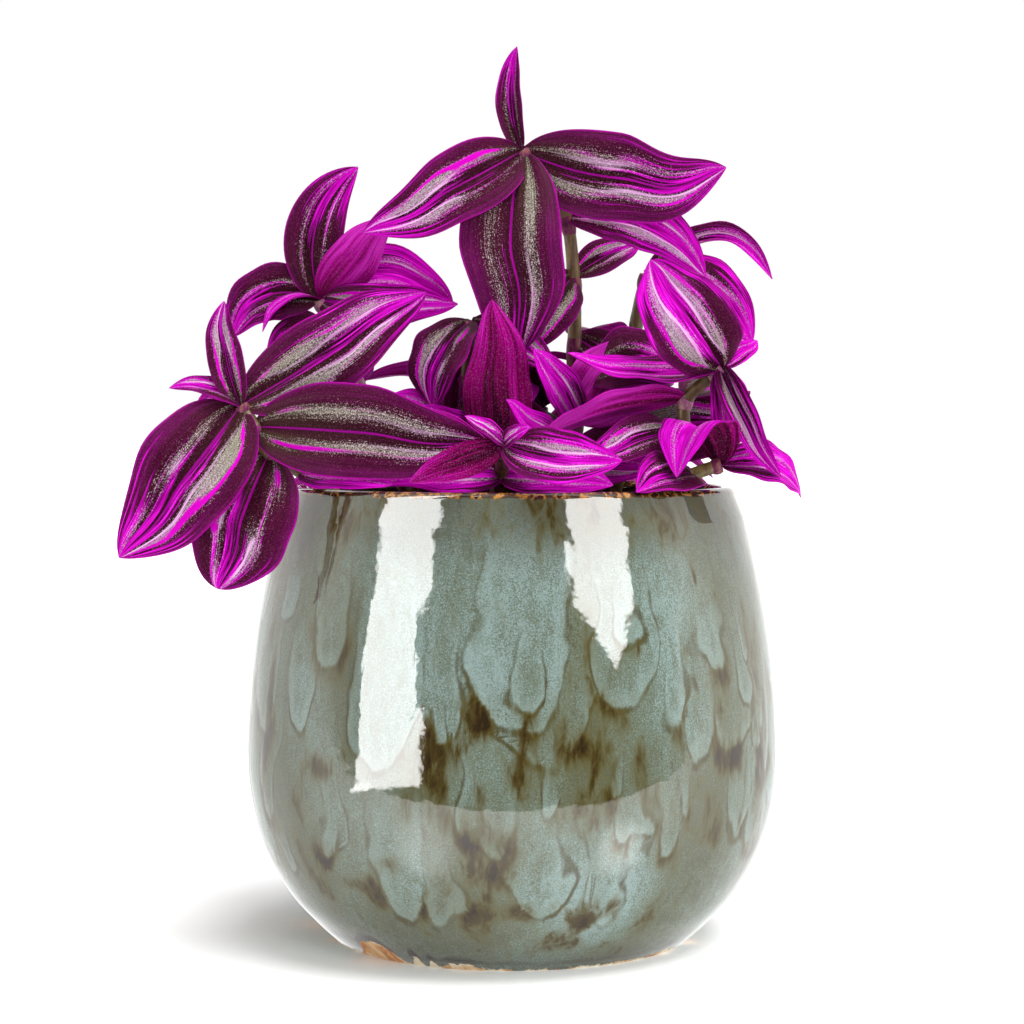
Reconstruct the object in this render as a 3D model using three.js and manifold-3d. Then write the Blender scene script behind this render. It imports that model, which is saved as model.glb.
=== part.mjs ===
// A tradescantia (inch plant) with purple, silver-striped leaves, growing in a round glazed pot.
// Millimetres, +Z up. The origin is the centre of the pot's underside, on the surface it stands on.
// The plant is seen from the front, which is the -Y side, with +X to the right.
import * as THREE from "three";
import { mergeVertices } from "three/addons/utils/BufferGeometryUtils.js";
import Module from "manifold-3d";

// ---- Driving dimensions ----

// The pot: a thrown belly shape with a flat, bare foot and a rounded lip.
const POT_HEIGHT = 135;
const WALL = 5.5;
const FLOOR = 8;
const LIP_RADIUS = 2.4;
const POT_SIDES = 48;
// Outer radius against height, from the foot to the lip.
const POT_OUTLINE = [
  [54, 0],
  [60.5, 6],
  [68.2, 15],
  [75.3, 29],
  [79.2, 46],
  [79.6, 62],
  [77.6, 86],
  [74, 108],
  [69.6, 126],
];

// The soil fills the pot to below the lip, and each stem stands in a hole in it.
const SOIL_TOP = 118;
const SOIL_DOME = 3;
const SOIL_SIDES = 32;
const STEM_DEPTH = 18;
const STEM_START = 4;
const CLEARANCE = 0.3;

// Stems and blades.
const STEM_RADIUS = 1.9;
const JOINT_RADIUS = 2.4;
const STEM_SIDES = 6;
const STEPS_BETWEEN_JOINTS = 2;
const BLADE_THICKNESS = 0.8;
const BLADE_STEP = 9;
const TIP_HALF_WIDTH = 0.4;
const HEEL_HALF_WIDTH = 1.5;
const WIDEST_AT = 0.42;
const BASE_FULLNESS = 0.58;

// A blade that would cross another shoot is turned about its base by the first of these that clears it.
const TURN_STEP = 4;
const TURN_RINGS = 10;
const TURNS_IN_RING = 8;

const wasm = await Module();
wasm.setup();

// ---- Small tools ----

const vec = (p) => new THREE.Vector3(...p);
const radians = THREE.MathUtils.degToRad;

// A closed three.js geometry as a solid that can be joined and cut.
function solidFrom(geometry) {
  const bare = geometry.index ? geometry.toNonIndexed() : geometry.clone();
  for (const name of Object.keys(bare.attributes)) {
    if (name !== "position") bare.deleteAttribute(name);
  }
  const merged = mergeVertices(bare, 1e-4);
  return new wasm.Manifold(
    new wasm.Mesh({
      numProp: 3,
      vertProperties: merged.attributes.position.array,
      triVerts: new Uint32Array(merged.index.array),
    }),
  );
}

// A solid as a three.js mesh with a name and a material.
function meshOf(solid, name, material) {
  const { numProp, vertProperties, triVerts } = solid.getMesh();
  const points = [];
  for (let i = 0; i < vertProperties.length; i += numProp) {
    points.push(vertProperties[i], vertProperties[i + 1], vertProperties[i + 2]);
  }
  const geometry = new THREE.BufferGeometry();
  geometry.setAttribute("position", new THREE.Float32BufferAttribute(points, 3));
  geometry.setIndex([...triVerts]);
  geometry.computeVertexNormals();
  const mesh = new THREE.Mesh(geometry, material);
  mesh.name = name;
  return mesh;
}

// A solid from rings of points. Rings have the same count; capFaces lists each end's triangles by point number.
function loft(rings, sideFaces, capFaces) {
  const count = rings[0].length;
  const index = [];
  for (const [a, b, c] of capFaces) index.push(a, c, b);
  for (let i = 0; i + 1 < rings.length; i++) {
    const near = i * count;
    const far = near + count;
    for (const [k, l, flipped] of sideFaces) {
      if (flipped) index.push(near + k, near + l, far + k, near + l, far + l, far + k);
      else index.push(near + k, near + l, far + l, near + k, far + l, far + k);
    }
  }
  const last = (rings.length - 1) * count;
  for (const [a, b, c] of capFaces) index.push(last + a, last + b, last + c);
  const geometry = new THREE.BufferGeometry();
  const flat = rings.flat().flatMap((p) => [p.x, p.y, p.z]);
  geometry.setAttribute("position", new THREE.Float32BufferAttribute(flat, 3));
  geometry.setIndex(index);
  return solidFrom(geometry);
}

// ---- Pot and soil ----

const outline = new THREE.SplineCurve(POT_OUTLINE.map(([r, z]) => new THREE.Vector2(r, z)));

// The pot's outer radius at a height.
function outerRadius(height) {
  let low = 0;
  let high = 1;
  for (let i = 0; i < 30; i++) {
    const middle = (low + high) / 2;
    if (outline.getPoint(middle).y < height) low = middle;
    else high = middle;
  }
  return outline.getPoint(low).x;
}

// A solid of revolution about Z from a profile of [radius, height].
function turned(profile, sides) {
  const geometry = new THREE.LatheGeometry(
    profile.map(([r, z]) => new THREE.Vector2(r, z)),
    sides,
  );
  geometry.rotateX(Math.PI / 2);
  return solidFrom(geometry);
}

function potSolid() {
  const wallTop = POT_HEIGHT - LIP_RADIUS;
  const outside = outline.getPoints(11).map((p) => [p.x, p.y]);
  const lipOuter = POT_OUTLINE.at(-1)[0] - 2.6;
  const lip = [0, 45, 90, 135, 180].map((angle) => [
    lipOuter - LIP_RADIUS + LIP_RADIUS * Math.cos(radians(angle)),
    wallTop + LIP_RADIUS * Math.sin(radians(angle)),
  ]);
  const inside = [];
  for (const height of [120, 104, 84, 62, 44, 28, 16]) {
    inside.push([outerRadius(height) - WALL, height]);
  }
  const profile = [
    [0, 0],
    ...outside,
    ...lip,
    ...inside,
    [outerRadius(FLOOR) - WALL - 4, FLOOR],
    [0, FLOOR],
  ];
  return turned(profile, POT_SIDES);
}

function soilSolid(stems) {
  const side = [];
  for (const height of [16, 28, 44, 62, 84, 104, SOIL_TOP - 1]) {
    side.push([outerRadius(height) - WALL - CLEARANCE, height]);
  }
  const edge = side.at(-1)[0];
  const profile = [
    [0, FLOOR + CLEARANCE],
    [outerRadius(FLOOR) - WALL - 4 - CLEARANCE, FLOOR + CLEARANCE],
    ...side,
    [edge * 0.97, SOIL_TOP],
    [edge * 0.6, SOIL_TOP + SOIL_DOME * 0.6],
    [edge * 0.25, SOIL_TOP + SOIL_DOME],
    [0, SOIL_TOP + SOIL_DOME],
  ];
  let soil = turned(profile, SOIL_SIDES);
  for (const { joints } of stems) {
    const bore = STEM_RADIUS + 2 * CLEARANCE;
    const hole = new THREE.CylinderGeometry(bore, bore, 2 * (STEM_DEPTH - STEM_START) + 10, 8);
    hole.rotateX(Math.PI / 2);
    hole.translate(joints[0].x, joints[0].y, joints[0].z - STEM_START + 5 - CLEARANCE);
    soil = soil.subtract(solidFrom(hole));
  }
  return soil;
}

// ---- A stem ----

// The stem is a smooth line through its joints, a little swollen at each, which is where leaves grow.
// Below the first joint it goes straight down into the soil.
function stemSolid(joints) {
  const steps = (joints.length - 1) * STEPS_BETWEEN_JOINTS;
  const line = new THREE.CatmullRomCurve3(joints, false, "catmullrom", 0.5);
  const rings = [];
  let across = new THREE.Vector3(1, 0, 0);
  for (let i = -1; i <= steps; i++) {
    const along = i < 0 ? new THREE.Vector3(0, 0, 1) : line.getTangent(i / steps);
    across = across.addScaledVector(along, -across.dot(along)).normalize();
    const up = new THREE.Vector3().crossVectors(along, across);
    const atJoint = i % STEPS_BETWEEN_JOINTS === 0 && i > 0;
    const taper = i === steps ? 0.7 : 1;
    const radius = (atJoint ? JOINT_RADIUS : STEM_RADIUS) * taper;
    const centre = line.getPoint(Math.max(0, i) / steps);
    if (i < 0) centre.z -= STEM_DEPTH;
    const ring = [];
    for (let k = 0; k < STEM_SIDES; k++) {
      const angle = (2 * Math.PI * k) / STEM_SIDES;
      ring.push(
        centre
          .clone()
          .addScaledVector(across, radius * Math.cos(angle))
          .addScaledVector(up, radius * Math.sin(angle)),
      );
    }
    rings.push(ring);
  }
  const sides = [];
  const caps = [];
  for (let k = 0; k < STEM_SIDES; k++) sides.push([k, (k + 1) % STEM_SIDES, false]);
  for (let k = 1; k + 1 < STEM_SIDES; k++) caps.push([0, k, k + 1]);
  return loft(rings, sides, caps);
}

// ---- A leaf blade ----

// Half-width along the blade as a share of its widest: full near the base, drawn out to the tip.
function bladeOutline(t) {
  const falloff = (BASE_FULLNESS * (1 - WIDEST_AT)) / WIDEST_AT;
  return Math.pow(t / WIDEST_AT, BASE_FULLNESS) * Math.pow((1 - t) / (1 - WIDEST_AT), falloff);
}

// The middle of a blade and its directions at t, from 0 at the base to 1 at the tip.
// arch lifts the midrib towards the upper face, sway bends it up then down, bow bends it sideways.
function bladeFrame(leaf, t) {
  const chord = leaf.tip.clone().sub(leaf.base);
  const along = chord.clone().normalize();
  const normal = leaf.faces.clone().addScaledVector(along, -leaf.faces.dot(along)).normalize();
  const side = new THREE.Vector3().crossVectors(along, normal);
  const hump = 4 * t * (1 - t);
  const slope = 4 * (1 - 2 * t);
  const turn = 2 * Math.PI * t;
  const middle = leaf.base
    .clone()
    .addScaledVector(chord, t)
    .addScaledVector(normal, leaf.arch * hump + leaf.sway * Math.sin(turn))
    .addScaledVector(side, leaf.bow * hump);
  const forward = chord
    .clone()
    .addScaledVector(normal, leaf.arch * slope + leaf.sway * 2 * Math.PI * Math.cos(turn))
    .addScaledVector(side, leaf.bow * slope)
    .normalize();
  const up = normal.clone().addScaledVector(forward, -normal.dot(forward)).normalize();
  const right = new THREE.Vector3().crossVectors(forward, up);
  const roll = radians(leaf.twist) * (t - 0.5);
  return {
    middle,
    up: up.clone().multiplyScalar(Math.cos(roll)).addScaledVector(right, -Math.sin(roll)),
    right: right.clone().multiplyScalar(Math.cos(roll)).addScaledVector(up, Math.sin(roll)),
  };
}

// The blade as a solid, folded along the midrib, from a share of its length on.
// grow is added all round, to test for room.
function bladeSolid(leaf, grow = 0, from = 0) {
  const length = leaf.tip.distanceTo(leaf.base);
  const steps = Math.max(4, Math.min(9, Math.round(length / BLADE_STEP) + 1));
  const fold = radians(leaf.fold);
  const half = BLADE_THICKNESS / 2 + grow;
  const rings = [];
  for (let i = 0; i <= steps; i++) {
    const t = from + ((1 - from) * i) / steps;
    const { middle, up, right } = bladeFrame(leaf, t);
    const least = i === steps ? TIP_HALF_WIDTH : HEEL_HALF_WIDTH * (1 - t) + TIP_HALF_WIDTH * t;
    const reach = Math.max(least, (leaf.width / 2) * bladeOutline(t)) + grow;
    const edge = (v) =>
      middle
        .clone()
        .addScaledVector(right, v * reach * Math.cos(fold))
        .addScaledVector(up, Math.abs(v) * reach * Math.sin(fold));
    const row = [1, 0, -1].map(edge);
    const top = row.map((p) => p.clone().addScaledVector(up, half));
    const bottom = row.map((p) => p.clone().addScaledVector(up, -half));
    rings.push([...bottom, ...top.reverse()]);
  }
  // Ring points: 0 1 2 along the underside, 3 4 5 back along the upper side.
  const sides = [
    [0, 1, false],
    [1, 2, false],
    [2, 3, false],
    [3, 4, true],
    [4, 5, true],
    [5, 0, false],
  ];
  const caps = [
    [0, 1, 4],
    [0, 4, 5],
    [1, 2, 3],
    [1, 3, 4],
  ];
  return loft(rings, sides, caps);
}

// ---- The shoots seen from the front ----

// joints: where the stem leaves the soil, then each joint up to its end.
// leaves: joint, tip, width, way the upper face looks, arch, sway, bow, twist, fold.
const FRONT_SHOOTS = [
  {
    name: "shoot_crown",
    joints: [
      [14, 8, 118],
      [17, 7, 150],
      [19, 4, 180],
      [18.5, 1, 198],
      [16, -2, 216],
      [8, -4, 228],
      [3, -4, 235],
    ],
    leaves: [
      [6, [2, -22, 175], 29, [0, -1, 0.25], 6, 0, 3, 0, 14],
      [6, [63, -14, 229], 27, [0, -1, 0], 3, 0, 6, 0, 12],
      [6, [-43, -26, 209], 22, [-0.1, -1, 0], 6, 0, -1.5, 0, 14],
      [6, [1.5, -3, 266], 12, [-0.3, -1, 0.1], 1, 0, -2, 0, 48],
      [4, [57, -14, 197], 18, [0, -0.9, 0.3], 3, 0, -6, 0, 12],
      [3, [4, -12, 174], 17, [0.3, -1, 0.1], 3, 0, 2, 0, 14],
      [3, [39, 14, 209], 12, [0, -1, 0.5], 2, 0, 0, 0, 16],
      [2, [36, 32, 172], 18, [0.2, 0.4, 0.9], 5, 0, 0, 0, 16],
      [1, [-8, 30, 158], 18, [0, 0.4, 0.9], 4, 0, 0, 0, 14],
      [2, [42, 16, 162], 18, [0, -1, 0.2], 4, 0, 0, 0, 14],
    ],
  },
  {
    name: "shoot_left",
    joints: [
      [-38, -20, 118],
      [-50, -25, 132],
      [-61, -30, 140],
      [-70, -33, 145],
      [-74, -33, 153],
      [-78, -33, 159],
    ],
    leaves: [
      [5, [-111, -46, 116], 31, [0, -1, 0.1], 6, 0, -1.5, 0, 10],
      [4, [-6, -55, 148], 28, [0, -1, 0.15], 4, 0, 0, 0, 10],
      [5, [-25, -22, 192], 24, [-0.05, -1, 0.1], 4, 0, 1.2, 0, 10],
      [3, [-83, -50, 109], 31, [0, -1, 0.15], 5, 0, 0, 0, 10],
      [5, [-83, -30, 189], 12, [0, -1, 0], 2, 0, -1.7, 0, 30],
      [5, [-98, -36, 164], 10, [0, -0.6, 0.8], 3, 0, 0, 0, 16],
      [5, [-92, -24, 157], 13, [-0.3, -0.9, 0.2], 2, 0, 0, 0, 16],
      [5, [-90, -26, 175], 7, [0, -1, 0.3], 1, 0, 0, 0, 20],
      [2, [-36, -57, 140], 14, [0, -0.9, 0.5], 2, 0, 0, 0, 14],
      [2, [-70, -2, 141], 20, [-0.3, 0.1, 1], 5, 0, 0, 0, 16],
    ],
  },
  {
    name: "shoot_upper_left",
    joints: [
      [-28, 12, 118],
      [-38, 10, 145],
      [-48, 6, 168],
      [-54, 3, 181],
      [-58, 0, 191],
    ],
    leaves: [
      [4, [-46.5, 4, 231], 18, [0.1, -1, 0.1], 3, 0, -7, 0, 12],
      [4, [-36, -10, 215], 16, [0, 1, 0.3], -3, 0, 0, 0, 16],
      [4, [-84, -2, 179.5], 19, [-0.3, -1, 0.2], 4, 0, 6, 0, 14],
      [4, [-18, -6, 193], 18, [0, -1, 0.3], 4, 0, -8, 0, 12],
      [4, [-16, -14, 189], 15, [0, -1, 0.2], 3, 0, 3, 0, 12],
      [3, [-73, -8, 174], 17, [-0.3, -0.9, 0.3], 3, 0, 0, 0, 14],
      [4, [-74, -10, 181], 6, [-0.3, -0.5, 0.8], 5, 0, 0, 0, 16],
      [2, [-52, 36, 160], 19, [-0.2, 0.5, 0.8], 5, 0, 0, 0, 16],
      [1, [-60, -8, 143], 17, [-0.2, 0, 1], 4, 0, 0, 0, 14],
      [1, [-20, 36, 147], 18, [0, 0.3, 1], 4, 0, 0, 0, 14],
    ],
  },
  {
    name: "shoot_right",
    joints: [
      [42, -12, 118],
      [47, -18, 136],
      [50, -22, 151],
      [51, -23, 161],
      [61, -25, 170],
    ],
    leaves: [
      [4, [40, -26, 201], 26, [-0.2, -1, 0.1], 12, 0, 0, 0, 12],
      [4, [16, -36, 174], 17, [0, -0.5, 0.9], -5, 0, 0, 0, 20],
      [4, [76.5, -40, 138.5], 15, [-0.2, -1, 0.2], 3, 0, 1, 0, 42],
      [3, [6, -50, 149], 15, [0, 0.65, 0.75], 3, 0, 0, 0, 14],
      [4, [63, -30, 147], 13, [0.3, -1, 0.1], 2, 0, 0, 0, 16],
      [2, [20, -50, 143], 16, [-0.1, -0.85, 0.5], 3, 0, 0, 0, 14],
      [4, [72, -18, 178], 7, [-0.3, -1, 0.1], 1, 0, 0, 0, 20],
      [3, [70, 12, 156], 19, [0.4, 0.2, 0.9], 5, 0, 0, 0, 16],
    ],
  },
  {
    name: "shoot_front",
    joints: [
      [-4, -26, 118],
      [-3, -34, 139],
      [-3, -46, 145],
      [-2, -60, 148],
    ],
    leaves: [
      [3, [30, -69, 144], 18, [0.1, -0.9, 0.4], 1, 0, 3, 0, 20],
      [1, [-8, -24, 189], 21, [0.1, 1, -0.1], -3, 0, 0, 0, 18],
      [3, [-28, -69, 138], 10, [0, 1, -0.1], -3, 0, 0, 0, 12],
      [3, [-13, -62, 156], 6, [0.3, -0.8, 0.5], 1, 0, 0, 0, 24],
      [3, [5, -65, 153], 6, [-0.3, -0.8, 0.4], 1, 0, 0, 0, 24],
      [1, [-38, -50, 140], 14, [0, -0.9, 0.4], 3, 0, 0, 0, 14],
      [1, [28, -52, 139], 14, [0, -0.9, 0.4], 3, 0, 0, 0, 14],
      [1, [-26, -44, 154], 10, [0, 1, 0.1], -2, 0, 0, 0, 14],
    ],
  },
  {
    name: "shoot_lower_right",
    joints: [
      [34, -30, 118],
      [43, -34, 131],
      [52, -35, 139],
      [60, -35, 142],
    ],
    leaves: [
      [3, [46, -54, 139], 22, [-0.35, -0.45, 0.85], 12, 0, 0, 0, 14],
      [3, [85, -26, 136], 17, [0.2, -0.7, 0.7], 6, 0, 0, 0, 16],
      [2, [34, -58, 139], 17, [0, -0.8, 0.6], 3, 0, 0, 0, 14],
      [3, [76, -12, 142], 17, [0.4, 0, 1], 4, 0, 0, 0, 16],
    ],
  },
  {
    name: "shoot_upper_right",
    joints: [
      [30, 16, 118],
      [35, 14, 150],
      [38, 12, 184],
      [41, 9, 199],
    ],
    leaves: [
      [3, [78, -2, 197], 12, [-0.1, -0.7, 0.7], 5, -1, -11, 0, 14],
      [3, [73, -4, 178], 21, [0.3, -1, 0.3], 6, 0, -3, 0, 14],
      [1, [56, 40, 152], 19, [0.2, 0.4, 0.9], 5, 0, 0, 0, 16],
      [1, [73, 2, 160], 24, [0, -1, 0.2], 5, 0, 0, 0, 14],
    ],
  },
  {
    name: "shoot_middle_left",
    joints: [
      [-12, -6, 118],
      [-13, -10, 145],
      [-13, -13, 168],
      [-12, -14, 184],
    ],
    leaves: [
      [3, [-27, -26, 164], 20, [-0.5, -0.8, 0.2], 6, 0, 0, 0, 14],
      [1, [-25, -37, 159], 15, [-0.1, -1, 0.3], 3, 0, 0, 0, 14],
      [2, [-22, 20, 166], 17, [-0.2, 0.5, 0.9], 4, 0, 0, 0, 14],
      [3, [14, -18, 171], 13, [0.2, -0.9, 0.4], 3, 0, 0, 0, 14],
      [1, [-40, -22, 158], 18, [-0.2, -0.6, 0.8], 4, 0, 0, 0, 14],
      [1, [-26, 26, 156], 19, [-0.2, 0.5, 0.9], 5, 0, 0, 0, 16],
      [1, [-19, 4, 180], 19, [0, -1, 0.2], 3, 0, 0, 0, 14],
    ],
  },
  {
    name: "shoot_middle_right",
    joints: [
      [14, -16, 118],
      [16, -20, 138],
      [19, -20, 154],
      [23, -16, 167],
    ],
    leaves: [
      [3, [48, -12, 168], 23, [0.1, -0.8, 0.6], 9, 0, 0, 0, 14],
      [2, [36, -18, 181], 24, [-0.3, 1, 0], -3, 0, 0, 0, 16],
      [2, [6, -40, 175], 13, [0.3, -0.9, 0.2], 2, 0, 0, 0, 18],
      [1, [-4, -46, 160], 14, [-0.1, -0.8, 0.6], 2, 0, 0, 0, 14],
      [1, [38, -44, 153], 15, [0.2, -0.8, 0.6], 3, 0, 0, 0, 14],
      [1, [42, -6, 152], 17, [0, -1, 0.3], 3, 0, 0, 0, 14],
    ],
  },
];

// ---- The shoots round the back ----

// Shoots stand in a row round the back of the pot. Every other one stays inside the rim, and the
// rest lean out over it. Their leaves stand left and right of the stem in turn.
const BACK_HEADINGS = [26, 58, 76, 95, 114, 134];
// Distance from the middle of the pot and height, at each joint.
const UPRIGHT_JOINTS = [
  [26, 118],
  [30, 136],
  [33, 149],
  [35, 159],
];
const LEANING_JOINTS = [
  [40, 118],
  [46, 131],
  [56, 140],
  [68, 142],
  [78, 138],
];
// Joint, angle aside from the way the shoot leans, length, rise to the tip and width.
const UPRIGHT_LEAVES = [
  [1, 75, 36, 9, 19],
  [2, -70, 38, 6, 20],
  [3, 60, 36, 8, 19],
  [3, -35, 35, 10, 19],
  [3, -150, 32, 9, 17],
  [3, 140, 26, 15, 12],
];
const LEANING_LEAVES = [
  [1, -68, 38, 4, 19],
  [2, 68, 41, -2, 21],
  [3, -68, 41, -6, 21],
  [4, 68, 38, -10, 20],
  [4, -25, 34, -14, 16],
  [4, 25, 31, -18, 14],
];

// A repeatable spread between -1 and 1.
function spread(n) {
  const value = Math.sin(n * 12.9898) * 43758.5453;
  return 2 * (value - Math.floor(value)) - 1;
}

function backShoot(heading, number) {
  const leaning = number % 2 === 1;
  const at = (angle, distance, height) => [
    distance * Math.cos(radians(angle)),
    distance * Math.sin(radians(angle)),
    height,
  ];
  const joints = (leaning ? LEANING_JOINTS : UPRIGHT_JOINTS).map(([distance, height], k) =>
    at(heading + 3 * k * spread(10 * number + k), distance, height),
  );
  const rows = leaning ? LEANING_LEAVES : UPRIGHT_LEAVES;
  const leaves = rows.map(([joint, aside, length, rise, width], k) => {
    const seed = 100 + 10 * number + k;
    const away = at(heading + aside + 10 * spread(seed), length + 3 * spread(seed + 0.3), rise);
    const tip = joints[joint].map((value, axis) => value + away[axis]);
    return [joint, tip, width + 2 * spread(seed + 0.6), at(heading, 0.4, 1), 6, 0, 0, 0, 15];
  });
  return { name: `shoot_back_${number + 1}`, joints, leaves };
}

// ---- Growing the plant ----

function growShoot({ name, joints, leaves }) {
  const points = joints.map(vec);
  points[0].z += STEM_START;
  return {
    name,
    joints: points,
    leaves: leaves.map(([joint, tip, width, faces, arch, sway, bow, twist, fold]) => ({
      base: points[joint],
      tip: vec(tip),
      faces: vec(faces),
      width,
      arch,
      sway,
      bow,
      twist,
      fold,
    })),
  };
}

// The leaf turned about its base: turn 0 leaves it, and later turns swing it further, all ways round.
function turnedLeaf(leaf, turn) {
  const chord = leaf.tip.clone().sub(leaf.base);
  const around = chord.clone().normalize();
  const hinge = leaf.faces.clone().cross(around).normalize();
  hinge.applyAxisAngle(around, (2 * Math.PI * turn) / TURNS_IN_RING);
  const angle = radians(TURN_STEP * Math.ceil(turn / TURNS_IN_RING));
  return {
    ...leaf,
    tip: leaf.base.clone().add(chord.applyAxisAngle(hinge, angle)),
    faces: leaf.faces.clone().applyAxisAngle(hinge, angle),
  };
}

function boxesMeet(a, b) {
  return [0, 1, 2].every((k) => a.min[k] <= b.max[k] && b.min[k] <= a.max[k]);
}

function meets(solid, others) {
  const box = solid.boundingBox();
  return others.some((other) => boxesMeet(box, other.box) && !solid.intersect(other.solid).isEmpty());
}

// Every leaf in its own place: the first turn that clears the pot, the soil and all other shoots,
// and, away from its base, the leaves of its own shoot. A leaf with no such turn is left out.
function placeLeaves(shoots, pot, soil) {
  const fixed = (solid) => ({ solid, box: solid.boundingBox() });
  const stems = shoots.map(({ joints }) => fixed(stemSolid(joints)));
  const blades = shoots.map(() => []);
  const tips = shoots.map(() => []);
  shoots.forEach(({ leaves }, number) => {
    const others = [fixed(pot), fixed(soil)];
    shoots.forEach((_, k) => {
      if (k !== number) others.push(stems[k], ...blades[k]);
    });
    for (const leaf of leaves) {
      for (let turn = 0; turn <= TURN_RINGS * TURNS_IN_RING; turn++) {
        const tried = turnedLeaf(leaf, turn);
        if (meets(bladeSolid(tried, 0.35), others)) continue;
        if (meets(bladeSolid(tried, 0.2, 0.3), tips[number])) continue;
        blades[number].push(fixed(bladeSolid(tried)));
        tips[number].push(fixed(bladeSolid(tried, 0, 0.3)));
        break;
      }
    }
  });
  return shoots.map((_, k) => ({ stem: stems[k].solid, blades: blades[k].map((b) => b.solid) }));
}

// The largest body of a fused shoot. Any loose scrap is dropped.
function oneBody(solid) {
  return solid.decompose().sort((a, b) => b.volume() - a.volume())[0];
}

const GLAZE = { color: 0x7f9a95, roughness: 0.12, metalness: 0 };
const SOIL = { color: 0x2e221b, roughness: 0.95, metalness: 0 };
const LEAF = { color: 0x8a1680, roughness: 0.45, metalness: 0 };

const shoots = [...FRONT_SHOOTS, ...BACK_HEADINGS.map(backShoot)].map(growShoot);
const pot = potSolid();
const soil = soilSolid(shoots);

const plant = new THREE.Group();
plant.name = "potted_tradescantia";
plant.add(meshOf(pot, "pot", new THREE.MeshStandardMaterial(GLAZE)));
plant.add(meshOf(soil, "soil", new THREE.MeshStandardMaterial(SOIL)));
placeLeaves(shoots, pot, soil).forEach(({ stem, blades }, k) => {
  const body = oneBody(blades.reduce((whole, blade) => whole.add(blade), stem));
  plant.add(meshOf(body, shoots[k].name, new THREE.MeshStandardMaterial(LEAF)));
});

export default plant;
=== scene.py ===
import math

import bpy
import numpy as np
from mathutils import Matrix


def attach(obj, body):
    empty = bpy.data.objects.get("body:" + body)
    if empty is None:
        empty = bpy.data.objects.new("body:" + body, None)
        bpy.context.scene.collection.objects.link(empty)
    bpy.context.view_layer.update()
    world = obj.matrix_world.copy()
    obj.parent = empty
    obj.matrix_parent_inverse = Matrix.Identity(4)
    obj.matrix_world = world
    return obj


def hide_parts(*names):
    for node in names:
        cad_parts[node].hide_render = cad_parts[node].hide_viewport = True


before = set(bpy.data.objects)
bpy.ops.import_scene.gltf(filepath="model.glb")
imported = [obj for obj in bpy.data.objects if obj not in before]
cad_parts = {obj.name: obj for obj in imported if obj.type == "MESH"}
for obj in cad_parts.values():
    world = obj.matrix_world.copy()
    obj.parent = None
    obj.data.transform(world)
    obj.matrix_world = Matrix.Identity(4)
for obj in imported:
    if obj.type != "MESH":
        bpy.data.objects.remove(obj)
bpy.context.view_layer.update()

# ---- The pot ----
# A thrown stoneware pot with a belly, a flat foot and a rounded lip. Glaze was poured over it in
# long tongues that ran down and overlapped, and where they thin out the iron in it burnt brown.
# The foot was wiped clean before firing, so bare clay shows there.
MM = 0.001
POT_HEIGHT = 135
WALL = 5.5
FLOOR = 8
# The middle of a turned profile stays just open, and one flat face closes it.
NO_RADIUS = 0.01
LIP_RADIUS = 2.4
POT_OUTLINE = [
    (54, 0),
    (60.5, 6),
    (68.2, 15),
    (75.3, 29),
    (79.2, 46),
    (79.6, 62),
    (77.6, 86),
    (74, 108),
    (69.6, 126),
]
SIDES_ROUND = 440
RINGS_OUTSIDE = 170
GLAZE_LIFT = 0.09
# From where the base curves up into the wall, and where the lip starts to turn over.
BASE_INSET = 4
LIP_INSET = 2.6
# Distances to one tongue's edge differ by less than this between neighbouring points.
EDGE_STEP = 2.2
# How many seeded tongues, stains and bare patches lie at the sides and the back alone, where the
# photo doesn't show the glaze, and how many small tongues and faint stains lie all round.
UNSEEN_TONGUES = 60
UNSEEN_STAINS = 105
UNSEEN_BARE_PATCHES = 14
SMALL_TONGUES = 46
FAINT_STAINS = 150
# Unevenness: how much, over what distance, and its seed.
TONGUE_SWAY = [(2.6, 13, 11), (1.3, 6, 17), (0.4, 3, 24)]
GLAZE_SWELL = [(0.35, 11, 18), (0.5, 24, 19)]

# Tongues of glaze on the front: distance across and height of the lower end, half-width, height
# where it starts, and how blue it is.
TONGUES = [
    (3, 69, 12, 156, 1),
    (8, 61, 16, 112, 0.6),
    (-17, 71, 6, 104, 0.5),
    (6, 18, 9, 52, 0.8),
    (47, 69, 5, 122, 0.7),
    (41, 32, 4.5, 74, 0.6),
    (-52, 85, 8, 126, 0.6),
    (-60, 64, 7, 100, 0.7),
    (-51, 36, 5, 60, 0.3),
    (62, 60, 9, 112, 0.5),
    (56, 83, 5, 118, 0.8),
    (26, 17, 8, 62, 0.5),
    (-30, 14, 9, 58, 0.8),
    (-36, 60, 9, 126, 0.8),
    (30, 78, 9, 130, 0.6),
    (-8, 40, 8, 64, 0.3),
    (-70, 40, 7, 84, 0.6),
    (70, 30, 7, 80, 0.6),
]
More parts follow.
